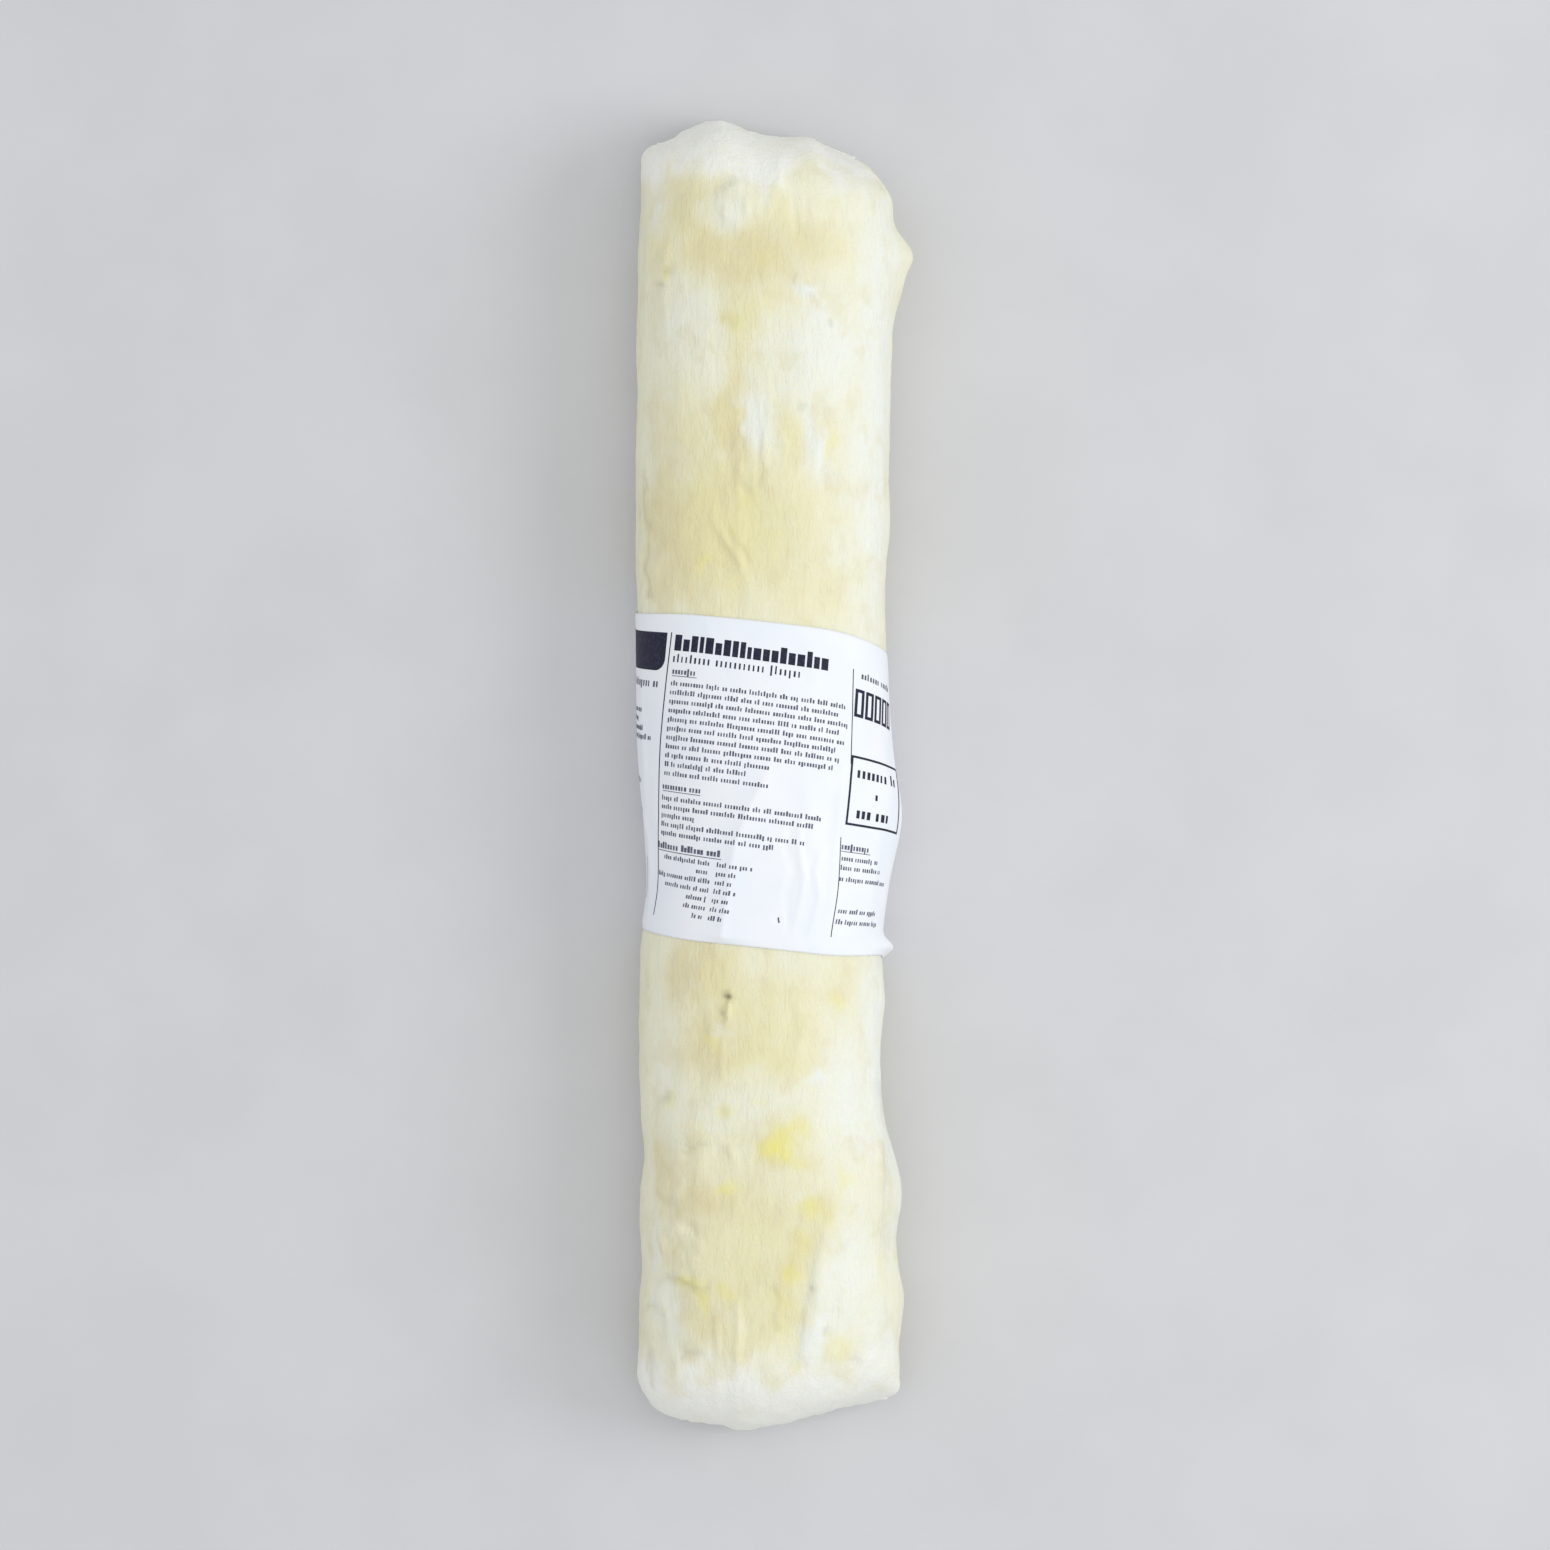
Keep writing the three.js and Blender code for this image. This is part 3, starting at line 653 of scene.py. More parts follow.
# Patches in plan: x, y, half their width and length, strength and, for some, a turn in degrees
WARM = [
    (-25, 187, 8, 10, 0.65), (-12, 168, 27, 12, 0.9, -5), (1, 179, 4, 8, 0.7), (13, 166, 9, 9, 0.5),
    (-10, 148, 7, 12, 0.8), (1, 151, 6, 7, 0.75), (-13, 128, 5, 18, 0.75), (17, 180, 4, 4, 0.2),
    (34, 190, 5, 5, 0.8), (-14, 112, 5, 14, 0.95), (-28, 108, 9, 14, 0.6), (4, 109, 6, 9, 0.75),
    (-16, 78, 25, 25, 1), (5, 84, 8, 20, 0.6), (8, 58, 14, 12, 0.5), (16, 78, 8, 18, 0.25),
    (-19, -66, 10, 11, 0.9), (-8, -82, 20, 18, 0.8), (19, -70, 10, 13, 0.3), (-24, -121, 6, 11, 0.4),
    (-17, -134, 14, 7, 0.7), (5, -117, 10, 9, 0.6), (-8, -155, 19, 30, 0.7), (7, -157, 7, 24, 0.8, -22),
    (-12, -176, 15, 12, 0.6), (22, -182, 5, 5, 0.4), (33, -163, 7, 12, 0.1),
]
# Tan patches: a darker tone of the dough. Those along the left flank are also painted shade, where the
# roll turns away from the light.
TAN_AND_SHADE = [
    (-10, 166, 20, 9, 0.6, -6), (-24, 176, 5, 8, 0.5), (-35, 80, 8, 30, 0.6), (-36, 151, 5, 6, 0.45),
    (-32, 62, 10, 9, 0.6), (-12, 108, 4, 22, 0.45), (-27, -66, 8, 10, 0.85), (-22, -84, 9, 10, 0.5),
    (-36, -126, 6, 11, 0.7), (-24, -135, 11, 8, 0.6), (-32, -150, 7, 6, 0.4), (-24, -172, 8, 8, 0.45),
    (-22, -186, 8, 5, 0.4), (2, -118, 5, 6, 0.5), (8, -150, 4, 18, 0.5, -20),
]
APRICOT = [
    (0.5, -118, 6, 4.5, 1, 12), (6, -113, 4.5, 3.5, 0.6), (7, -124, 3.5, 2.4, 0.5),
    (-15, -107, 3, 2, 0.75), (-34, -103, 2, 3, 0.5), (-5, -105, 3, 1.5, 0.35), (-15, -131, 3, 2, 0.7),
    (17, -113, 4, 2.5, 0.4), (22, -128, 3, 3, 0.55), (11, -137.5, 4, 3, 0.65), (17, -140, 3, 3, 0.35),
    (9, -149, 3.5, 7, 0.35, -15), (5.5, -159, 3, 4, 0.6), (1, -171, 3, 8, 0.35), (7, -176, 2.5, 7, 0.3),
    (-27.5, -161.3, 5.5, 2, 0.7), (-23, -167, 2.5, 4, 0.5), (-15, -164, 3, 3, 0.45),
    (22, -181, 4, 4, 0.4), (9, -191, 4, 2.6, 0.75), (31, -155, 3, 3, 0.3), (-4, 164.5, 3, 2.6, 0.3),
    (-34, 159, 2, 3, 0.45), (-13.5, 144, 2, 3, 0.5), (-9, 87, 3, 2.6, 0.15), (-13, 77.5, 1.5, 2.2, 0.45),
    (-22, 67, 2, 3, 0.6), (17.5, 106, 1.8, 5, 0.35), (20, -72, 3, 3, 0.4), (-20, -85, 3, 4, 0.35),
]
FLOUR = [
    (-28, 142, 13, 14, 0.38), (-14, 178.6, 6.5, 6.5, 0.75), (-37, 182, 4, 12, 0.5),
    (16, 136, 14, 19, 0.8), (11, 154, 4, 2.5, 1), (-4, 113, 5, 9, 0.8), (12.5, 107, 3, 12, 1),
    (17, 97, 8, 3, 0.7), (33, 120, 11, 85, 0.85), (21, 72, 4, 9, 0.5), (33, -100, 10, 60, 0.9),
    (24, -105, 12, 20, 0.8), (12, -97, 5, 3, 0.9), (-5, -104, 26, 7, 0.35), (-35, -95, 7, 16, 0.35),
    (22, -160, 10, 22, 0.75, -14), (13, -176, 5, 15, 1, -6), (33, -180, 9, 16, 0.7),
    (-33, -171, 6, 10, 0.6), (-38, -150, 3, 9, 0.6), (-19, -81, 2.6, 1.6, 0.9),
    (-20, -112.5, 3, 1.8, 0.7),
]
# More dark dots and lines: place or line, strength, radius. The first dot is a dark speck in the dough.
# The second dot and all the lines are painted shade along ridges, creases, the fold, the lap's edge and
# the left flank, and the third dot darkens the dough a little.
SPECK_AND_SHADE_DOTS = [(-15.1, -69.4, 1.5, 1), (-27, -115, 0.2, 1.5), (-15, -107, 0.2, 1.8)]
PAINTED_SHADE_LINES = [
    ([(9.5, -136), (8, -143), (5.5, -152), (4.5, -168)], 0.1, 1.2),
    ([(0.5, -163), (-0.5, -175)], 0.22, 1), ([(-31, -119), (-26, -117), (-21, -117.5)], 0.25, 1.1),
    ([(-38, -134), (-31, -137), (-25, -145)], 0.17, 1.6),
    ([(-33, -160), (-28, -162), (-22, -163)], 0.3, 1.3),
    ([(-31, -187), (-28, -183), (-24, -182)], 0.25, 1.1), ([(-11, 112), (-10, 96), (-7, 86)], 0.2, 1),
    ([(-4, 108), (-3.4, 92)], 0.15, 0.8), ([(-14, 79), (-11, 74), (-9, 68)], 0.2, 1),
    ([(-41, 98), (-40.5, 76), (-39.5, 56)], 0.3, 0.9),
    ([(34.5, -100), (35.4, -112), (36, -130), (35.4, -150)], 0.14, 2.4),
    ([(-40, -184), (-39.6, -194)], 0.3, 1.2),
]
# How dark the specks and the painted shade get
SPECK_AND_SHADE_DARKNESS = 0.55
# The pressed ends' whitish band: pale dough with no filling under it, made whiter still as painted light
# on the ends' sloping faces
END_BANDS = (21, 19)  # how far in the whitish dough of the south and the north end reaches
END_BLUR = 8
# How far a broad and a narrow noise shift patches, small marks and the ends' whitish bands
WARP = (3, 2.2)
SLIGHT_WARP = (1.2, 1.8)
END_WARP = (9, 5)
WARM_RIM, TAN_AND_SHADE_RIM, APRICOT_RIM, FLOUR_RIM = 0.7, 0.85, 0.7, 0.75
SEEN = (-0.5, 0.1)  # the dough counts as seen from above where it faces up by more than this
SIDE_WARMTH = 0.7  # the photograph doesn't show the sides, so their colours drift softly
SIDE_FLOUR = (0.2, 0.9)


def patches(points, rows, soft):
    """The strongest of several patches at each point."""
    return np.max([row[4] * patch(points, *row[:4], soft, *row[5:]) for row in rows], axis=0)


# Dark specks, and painted shade in the hollows, along creases and ridges and on the lap's edge, from 0 up
def specks_and_painted_shade(points):
    x, y = points[:, 0], points[:, 1]
    dots = SPECK_AND_SHADE_DOTS + [(*row[:2], *row[4:]) for row in PITS]
    masks = [strength * bell(np.hypot(x - px, y - py) / radius) for px, py, strength, radius in dots]
    for line, strength, radius in PAINTED_SHADE_LINES:
        masks.append(strength * bell(from_line(x, y, line)[0] / radius))
    return np.max(masks, axis=0)


def three_noises(noise, points, sizes, step):
    """Three noises from places that lie a step apart, to shift points in three directions."""
    return np.stack([noise(points + step * k, sizes) for k in range(3)], axis=-1)


def dough_masks(points, upward):
    """How far each point is warm, tan (on the left flank partly painted shade), apricot, floured, darkened
    by specks and painted shade, or part of a pressed end (whose white is partly painted light), from 0 to
    1.
    """
    broad = three_noises(drift, points, (10, 13, 10), 40)
    narrow = three_noises(lumps, points, (3.4, 4.4, 3.4), 30)
    warped, slightly = (points + wide * broad + fine * narrow for wide, fine in (WARP, SLIGHT_WARP))
    from_end = HALF_LENGTH - np.abs(points[:, 1]) + END_WARP[0] * broad[:, 0] + END_WARP[1] * narrow[:, 0]
    band = np.where(points[:, 1] < 0, *END_BANDS)
    seen = smooth(*SEEN, upward)
    side = 1 - seen
    cloud = 0.5 + 0.5 * drift(points, (26, 34, 26))
    dusting = smooth(0.3, 0.75, 0.5 + 0.5 * lumps(warped, (17, 26, 12)))
    return {
        "warm": np.maximum(patches(warped, WARM, WARM_RIM), SIDE_WARMTH * cloud * side),
        # tan tone, and painted shade on the left flank
        "tan_and_shade": patches(warped, TAN_AND_SHADE, TAN_AND_SHADE_RIM),
        "apricot": patches(slightly, APRICOT, APRICOT_RIM),
        "flour": np.maximum(patches(warped, FLOUR, FLOUR_RIM), side * lerp(*SIDE_FLOUR, dusting)),
        # dark specks, and painted shade in hollows, creases and along edges, where the dough is seen from
        # above
        "speck_and_shade": SPECK_AND_SHADE_DARKNESS * specks_and_painted_shade(slightly) * seen,
        # the pressed ends' band: pale dough, and painted light on their slopes
        "pressed_end_and_painted_light": smooth(band + END_BLUR, band - END_BLUR, from_end),
    }


# ---- materials


def linear(*colour):
    """An sRGB colour, 11 to 255, as the linear colour that nodes take."""
    return tuple(((value / 255 + 0.055) / 1.055) ** 2.4 for value in colour) + (1,)


class Nodes:
    """Short calls for building one material's nodes."""

    def __init__(self, name, specular):
        self.material = bpy.data.materials.new(name)
        self.material.use_nodes = True
        self.tree = self.material.node_tree
        self.shader = self.tree.nodes["Principled BSDF"]
        self.place = self.node("TexCoord").outputs["Object"]
        self.set("Specular IOR Level", specular)

    def feed(self, socket, value):
        if isinstance(value, bpy.types.NodeSocket):
            self.tree.links.new(value, socket)
        else:
            socket.default_value = value

    def set(self, name, value):
        """A value of the shader: a number or colour all over, or what a node gives."""
        self.feed(self.shader.inputs[name], value)

    def attribute(self, name):
        node = self.node("Attribute")
        node.attribute_name = name
        return node.outputs["Fac"]

    def node(self, kind, *values, **named):
        """A new node, with values or links for its first inputs and for those named."""
        node = self.tree.nodes.new("ShaderNode" + kind)
        for socket, value in zip(node.inputs, values):
            self.feed(socket, value)
        for name, value in named.items():
            self.feed(node.inputs[name], value)
        return node

    def noise(self, sizes, detail=3, roughness=0.55):
        """Noise with bumps about as far apart as the three sizes in millimetres."""
        scaled = self.node("Mapping", self.place, Scale=[1 / (size * MM) for size in sizes])
        place = scaled.outputs["Vector"]
        return self.node("TexNoise", place, Scale=1, Detail=detail, Roughness=roughness).outputs["Fac"]

    def ridges(self, sizes):
        """Thin crossing ridges, 1 on their crests, from the middle values of a noise."""
        away = self.math("ABSOLUTE", self.math("MULTIPLY_ADD", self.noise(sizes), 2, -1))
        return self.math("POWER", self.math("SUBTRACT", 1, away), 8)

    def math(self, operation, *values):
        node = self.node("Math", *values)
        node.operation = operation
        return node.outputs[0]

    def remap(self, value, low, high, to_low=0, to_high=1):
        node = self.node("MapRange", value, low, high, to_low, to_high)
        node.interpolation_type = "SMOOTHSTEP"
        return node.outputs["Result"]

    def mix(self, factor, first, second):
        node = self.node("Mix", factor)
        node.data_type = "RGBA"
        self.feed(node.inputs[6], first)
        self.feed(node.inputs[7], second)
        return node.outputs[2]

    def bump(self, height, distance):
        """distance is the height in millimetres that a value of 1 stands for."""
        self.set("Normal", self.node("Bump", Distance=distance * MM, Height=height).outputs["Normal"])

    def ragged(self, mask, noise, amount):
        """A mask whose soft rim is broken up by noise."""
        rim = self.math("MULTIPLY", mask, self.math("SUBTRACT", 1, mask))
        shift = self.math("MULTIPLY", self.math("SUBTRACT", noise, 0.5), rim)
        return self.math("MULTIPLY_ADD", shift, 4 * amount, mask)


CREAM = linear(242, 240, 213)
# The tan tone, which on the left flank also stands for painted shade
TAN_AND_SHADE_DOUGH = linear(227, 216, 173)
FLOURED = linear(243, 247, 240)
# Colour of the dark specks and of the painted shade in hollows, creases and along edges
SPECK_AND_SHADE_DOUGH = linear(104, 90, 60)
# Laid over the cream dough, in order: mask, colour, how ragged its rim is, cover
DOUGH_LAYERS = [
    ("warm", linear(237, 230, 179), 0.9, 1),
    # the tan layer, partly painted shade on the left flank
    ("tan_and_shade", TAN_AND_SHADE_DOUGH, 0.9, 1),
    ("apricot", linear(243, 236, 148), 0.7, 1),
    ("flour", FLOURED, 0.9, 0.9),
    # Near-white pressed ends: pale dough, and painted light on their sloping faces
    ("pressed_end_and_painted_light", linear(251, 252, 244), 0.8, 0.9),
]
DUST = 0.18  # most of the flour that lies all over
TONE = (0.3, 0.1)  # most of the tan tone all over, off and on the pressed ends


def dough_material():
    nodes = Nodes("frozen_dough", 0.35)
    blotches = nodes.noise((6, 8, 6), detail=5, roughness=0.65)
    streaks = nodes.noise((2.4, 20, 2.4))
    speckle = nodes.noise((0.9, 1, 0.9), detail=2)
    hue = nodes.noise((9, 12, 9), detail=4)
    colour = CREAM
    for name, layer, raggedness, cover in DOUGH_LAYERS:
        mask = nodes.ragged(nodes.attribute(name), blotches, raggedness)
        colour = nodes.mix(nodes.math("MULTIPLY", mask, cover), colour, layer)
    colour = nodes.mix(nodes.remap(hue, 0.5, 0.75, 0, DUST), colour, FLOURED)
    tone = nodes.remap(mask, 0, 1, *TONE)  # by the last mask, of the pressed ends
    toned = nodes.math("MULTIPLY", nodes.remap(hue, 0.5, 0.32), tone)
    colour = nodes.mix(toned, colour, TAN_AND_SHADE_DOUGH)
    # Dark specks, and painted shade in the dough's hollows, creases and along the lap's edge
    colour = nodes.mix(nodes.attribute("speck_and_shade"), colour, SPECK_AND_SHADE_DOUGH)
    nodes.set("Base Color", colour)
    nodes.set("Roughness", nodes.remap(streaks, 0.3, 0.7, 0.48, 0.7))
    nodes.set("Subsurface Weight", 0.15)
    nodes.set("Subsurface Radius", (1, 0.75, 0.45))
    nodes.set("Subsurface Scale", 2 * MM)
    wrinkles = nodes.ridges((2.6, 9, 2.6))
    relief = nodes.math("MULTIPLY_ADD", speckle, 0.6, streaks)
    relief = nodes.math("MULTIPLY_ADD", wrinkles, 0.5, relief)
    nodes.bump(nodes.math("ADD", relief, blotches), 0.2)
    return nodes.material


def paper_material():
    nodes = Nodes("label_paper", 0.35)
    fibres = nodes.noise((0.6, 0.9, 0.6))
    clouds = nodes.noise((16, 22, 16), detail=2)
    colour = nodes.mix(nodes.remap(clouds, 0.35, 0.65), linear(243, 248, 254), linear(248, 251, 255))
    nodes.set("Base Color", colour)
    nodes.set("Roughness", nodes.remap(fibres, 0.3, 0.7, 0.5, 0.62))
    nodes.bump(fibres, 0.02)
    return nodes.material


def mottled_material(name, size, ends, colours, roughness, specular):
    """A material that drifts between two colours as a noise goes from one end to the other."""
    nodes = Nodes(name, specular)
    nodes.set("Base Color", nodes.mix(nodes.remap(nodes.noise((size,) * 3), *ends), *colours))
    nodes.set("Roughness", roughness)
    return nodes.material


def ink_material(name, colour, faded):
    return mottled_material(name, 0.9, (0.45, 0.75), (colour, faded), 0.6, 0.3)


# ---- the label

PAPER_THICKNESS = 0.14
LABEL_STEPS_ALONG = 300
LABEL_STEPS_HIGH = 150
crumple = Noise(21)

PAPER_LUMPS = [(0.16, (13, 17, 1)), (0.05, (5, 6, 1))]  # soft crumpling: height, sizes
PAPER_LIFT = 0.25  # the crumpled paper stands off the dough by this in the middle of its relief
PAPER_FREE = 14  # and is pressed flat under the roll, and free from this height on
TANGENT_STEP = math.radians(1)
CREASE_TAPER = 0.02

# Creases in the paper: line along it and down, height, radius
CREASES = [
    ([(11, 44), (14, 60), (16, 76)], 0.4, 3),
    ([(8, 64), (6.2, 71), (8.6, 78), (6.6, 86), (8, 97)], -0.75, 1),
    ([(11.5, 60), (10.4, 70), (12, 80), (10.2, 98)], 0.6, 1.1),
    ([(18, 70), (15.6, 78), (17.4, 86), (15.4, 100)], 0.6, 1.1),
    ([(25, 16), (25.5, 45), (23, 66), (21, 92)], 0.45, 1.6), ([(47, 44), (40, 64), (36, 96)], 0.5, 3),
    ([(-52, 58), (-45, 74), (-46, 98)], 0.6, 2), ([(-45, 20), (-44, 48), (-47, 70)], 0.4, 1.8),
    ([(60, 20), (52, 40), (56, 62)], 0.4, 3), ([(-18, 2), (-16, 8), (-18, 16)], 0.25, 2),
    ([(16, 0), (15, 10), (18, 20)], 0.25, 2.4),
]
EDGE_CLOSES = 2.2  # over this width, the paper's rim comes back to the dough
DENT = {"place": (4.5, 94.5), "depth": 1, "radius": 0.9}
# The paper stands up to a sharp crease: its line, height, and how far off it falls to a third
BENT = {
    "line": [(5, 36), (0, 50), (-5, 60), (-9, 70), (-11.5, 80), (-13, 104)],
    "height": 1.7, "reach": 5.5,
    "starts": 0.3,  # it rises over this share of its line
}


def paper_relief(along, down):
    """Creases and soft crumpling of the paper, over its plain form."""
    flat = np.stack([along, down, 0 * along], axis=-1)
    relief = sum(height * crumple(flat, sizes) for height, sizes in PAPER_LUMPS)
    for row in CREASES:
        relief = relief + ridge(along, down, *row, CREASE_TAPER)
    distance, _, share = from_line(along, down, BENT["line"])
    relief = relief + BENT["height"] * np.exp(-distance / BENT["reach"]) * smooth(0, BENT["starts"], share)
    dx, dy = DENT["place"]
    return relief - DENT["depth"] * bell(np.hypot(along - dx, down - dy) / DENT["radius"])


def bulge(along, across, out, middle_along, reach_along, middle_across, reach_across):
    near = bell((along - middle_along) / reach_along)
    return out * near * bell((across - middle_across) / reach_across)


def stand_off(along, y, from_south_edge):
    turned = bulge(along, from_south_edge, *CORNER)
    return bulge(along, y, *BULGE) + turned * smooth(0, EDGE_CLOSES, from_south_edge)


def label_points(along, down, offset):
    """Points over the dough where the paper lies, at an offset from the paper's underside."""
    along, down = np.broadcast_arrays(along, down)
    middle, half = label_span(along)
    high = 1 - down / LABEL_HEIGHT
    y = middle + half * (2 * high - 1)
    angle = label_angle(along)
    x, z = roll_point(angle, y)
    before, after = (np.stack(roll_point(angle + s * TANGENT_STEP, y), axis=-1) for s in (-1, 1))
    tangent = (after - before) / np.linalg.norm(after - before, axis=-1, keepdims=True)
    free = smooth(0, PAPER_FREE, z) * smooth(0, EDGE_CLOSES, np.minimum(down, LABEL_HEIGHT - down))
    relief = free * np.maximum(paper_relief(along, down) + PAPER_LIFT, 0)
    out = LABEL_GAP + offset + relief + stand_off(along, y, 2 * half * high)
    return np.stack([x + tangent[..., 1] * out, y, z - tangent[..., 0] * out], axis=-1)


def label_mesh():
    along = np.linspace(-LABEL_LENGTH / 2, LABEL_LENGTH / 2, LABEL_STEPS_ALONG + 1)[:, None]
    down = np.linspace(LABEL_HEIGHT, 0, LABEL_STEPS_HIGH + 1)[None, :]
    skins = [label_points(along, down, offset) for offset in (0, PAPER_THICKNESS)]
    points = np.reshape(skins, (-1, 3))
    index = grid_index(skins[0])
    size = index.size
    rim = np.concatenate([index[:, 0], index[-1, 1:], index[-2::-1, -1], index[0, -2:0:-1]])
    following = np.roll(rim, -1)
    rim_faces = np.stack([rim, following, following + size, rim + size], axis=-1)
    faces = np.concatenate([grid_faces(index)[:, ::-1], grid_faces(index + size), rim_faces])
    return make_mesh("strudel_label", points, faces.tolist())


# ---- print on the label

INK_HEIGHT = 0.05  # how far the print lies over the paper
PRINT_LEAN = 0.12  # the print's columns lean over as the paper does
PRINT_DROP = 0.032  # and its lines drop a little more to the right
PRINT_STEP = 1.2  # print follows the paper in steps no longer than this
# The blocks of greeked text, as shares of its size, or of the pitch for their width
LETTER_PITCH = 0.78
LETTER_WIDTHS = (0.8, 1.25)
TALL_LETTER, TALL_SHARE = 1.4, 0.22
LOW_LETTER, LOW_SHARE = 0.35, 0.06
WORD_GAP = 0.8
UNDERLINE_DROP, UNDERLINE_WIDTH = 0.45, 0.16
COLUMN_LEFT = -34


class Print:
    """Flat shapes in one ink. Places are millimetres along the paper and down from its top edge."""

    def __init__(self, seed):
        self.draws = np.random.default_rng(seed)
        self.points, self.faces = [], []

    def quad_strip(self, start, end, start_low, end_low):
        """A four-cornered shape between an upper line, start to end, and a lower line."""
        across = max(1, math.ceil(math.dist(start, end) / PRINT_STEP))
        deep = max(1, math.ceil(math.dist(start, start_low) / PRINT_STEP))
        first = len(self.points)
        for j in range(deep + 1):
            left = [lerp(a, b, j / deep) for a, b in zip(start, start_low)]
            right = [lerp(a, b, j / deep) for a, b in zip(end, end_low)]
            for i in range(across + 1):
                self.points.append([lerp(a, b, i / across) for a, b in zip(left, right)])
        for j in range(deep):
            for i in range(across):
                a = first + j * (across + 1) + i
                self.faces.append([a + across + 1, a + across + 2, a + 1, a])

    def bar(self, left, right, top, bottom):
        self.quad_strip((left, top), (right, top), (left, bottom), (right, bottom))

    def line(self, start, end, width):
        (ax, ay), (bx, by) = start, end
        length = math.dist(start, end)
        nx, ny = (ay - by) / length * width / 2, (bx - ax) / length * width / 2
        self.quad_strip((ax - nx, ay - ny), (bx - nx, by - ny), (ax + nx, ay + ny), (bx + nx, by + ny))

    def frame(self, left, right, top, bottom, width):
        for edge in (top, bottom):
            self.line((left - width / 2, edge), (right + width / 2, edge), width)
        for edge in (left, right):
            self.line((edge, top), (edge, bottom), width)

    def words(self, left, right, base, size, weight=0.5, letters=(2, 10)):
        """A line of greeked text: upright blocks in groups, with no letter among them."""
        at = left
        pitch = LETTER_PITCH * size
        while at < right - pitch:
            for _ in range(self.draws.integers(*letters, endpoint=True)):
                width = pitch * weight * self.draws.uniform(*LETTER_WIDTHS)
                tall = TALL_LETTER if self.draws.random() < TALL_SHARE else 1
                low = LOW_LETTER * size if self.draws.random() < LOW_SHARE else 0
                if at + width > right:
                    break
                self.bar(at, at + width, base - tall * size, base + low)
                at += pitch
            at += WORD_GAP * pitch

    def underlined(self, left, right, base, size, weight=0.6):
        self.words(left, right, base, size, weight, (7, 12))
        drop = base + UNDERLINE_DROP * size
        self.line((left, drop), (right, drop), UNDERLINE_WIDTH * size)

    def make(self, name):
        flat = np.array(self.points)
        along = flat[:, 0] - PRINT_LEAN * (flat[:, 1] - LABEL_HEIGHT / 2)
        down = flat[:, 1] + PRINT_DROP * (flat[:, 0] - COLUMN_LEFT)
        points = label_points(along, down, PAPER_THICKNESS + INK_HEIGHT)
        return make_mesh(name, points, self.faces)


BLOCK = (-66, -37, 6.2, 18.6)  # left, right, top, bottom
BLOCK_CORNER = 4
BLOCK_ARC = 8
# Rules between the columns: start, end, width
RULES = [
    ((-35.4, 6), (-36, 40), 0.4), ((-36, 40), (-36, 76), 0.4), ((-36, 76), (-35.2, 98), 0.4),
    ((25.3, 9), (26.9, 40), 0.3), ((25.9, 64), (28.1, 96), 0.3),
]
HEADING = (-33.8, 14.4, 11.7, 3.8)  # left, right, base, size
BAR_WIDTHS, BAR_GAP = (1.3, 2.6), 0.62
TALL_BAR, TALL_BAR_SHARE = 1.35, 0.35
UNDER_HEADING = (-33.8, 8.5, 15.4, 1.9, 0.36, (9, 13))
BOX = (27.3, 50.8, 37.4, 59.4, 0.75)  # left, right, top, bottom, width of its line
# Words in the box: left, right, base, size, weight, fewest and most letters
BOX_WORDS = [
    (29.6, 48.5, 44, 2.5, 0.5, (6, 7)),
    (37.4, 39.5, 50.4, 1.9, 0.6, (1, 1)),
    (30.6, 46.5, 57.2, 2.6, 0.55, (3, 4)),
]
# The open blocks of the number
NUMBER_COUNT, NUMBER_LEFT, NUMBER_PITCH, NUMBER_WIDTH = 5, 27.2, 4.2, 2.5
NUMBER_ROW = (15.6, 23.8, 1.05)  # top, bottom, width of the line


def dark_print():
    """The heavy print: a plain block, the heading, the rules, the number's blocks and the box."""
    ink = Print(31)
    left, right, top, bottom = BLOCK
    x, y = right - BLOCK_CORNER, bottom - BLOCK_CORNER
    ink.bar(left, right, top, y)
    ink.bar(left, x, y, bottom)
    turns = [math.pi / 2 * k / BLOCK_ARC for k in range(BLOCK_ARC + 1)]
    arc = [(x + BLOCK_CORNER * math.sin(t), y + BLOCK_CORNER * math.cos(t)) for t in turns]
    for first, second in zip(arc, arc[1:]):
        ink.quad_strip((x, y), (x, y), first, second)
    for rule in RULES:
        ink.line(*rule)
    at, right, base, size = HEADING
    while at < right:
        width = ink.draws.uniform(*BAR_WIDTHS)
        tall = TALL_BAR if ink.draws.random() < TALL_BAR_SHARE else 1
        ink.bar(at, at + width, base - tall * size, base)
        at += width + BAR_GAP
    ink.words(*UNDER_HEADING)
    ink.frame(*BOX)
    for k in range(NUMBER_COUNT):
        left = NUMBER_LEFT + NUMBER_PITCH * k
        ink.frame(left, left + NUMBER_WIDTH, *NUMBER_ROW)
    for words in BOX_WORDS:
        ink.words(*words)
    return ink


SMALL = (1.15, 0.55)  # size and weight of the small text
# Underlined titles: left, right, base, size and one's weight
CONTENTS_TITLE = (-33.6, -25, 19.2, 1.35)
STEPS_TITLE = (-34.2, -20, 56.4, 1.35)
TABLE_TITLE = (-35.8, -11.4, 75.8, 1.5, 0.72)
SIDE_TITLE = (26.6, 38, 67.8, 1.4)
# Single lines, as in the box
OVER_NUMBER = (28.6, 46, 11.4, 1.6, 0.5, (7, 9))
UNDER_BLOCK = (-66, -38, 24, 1.9, 0.5, (6, 9))
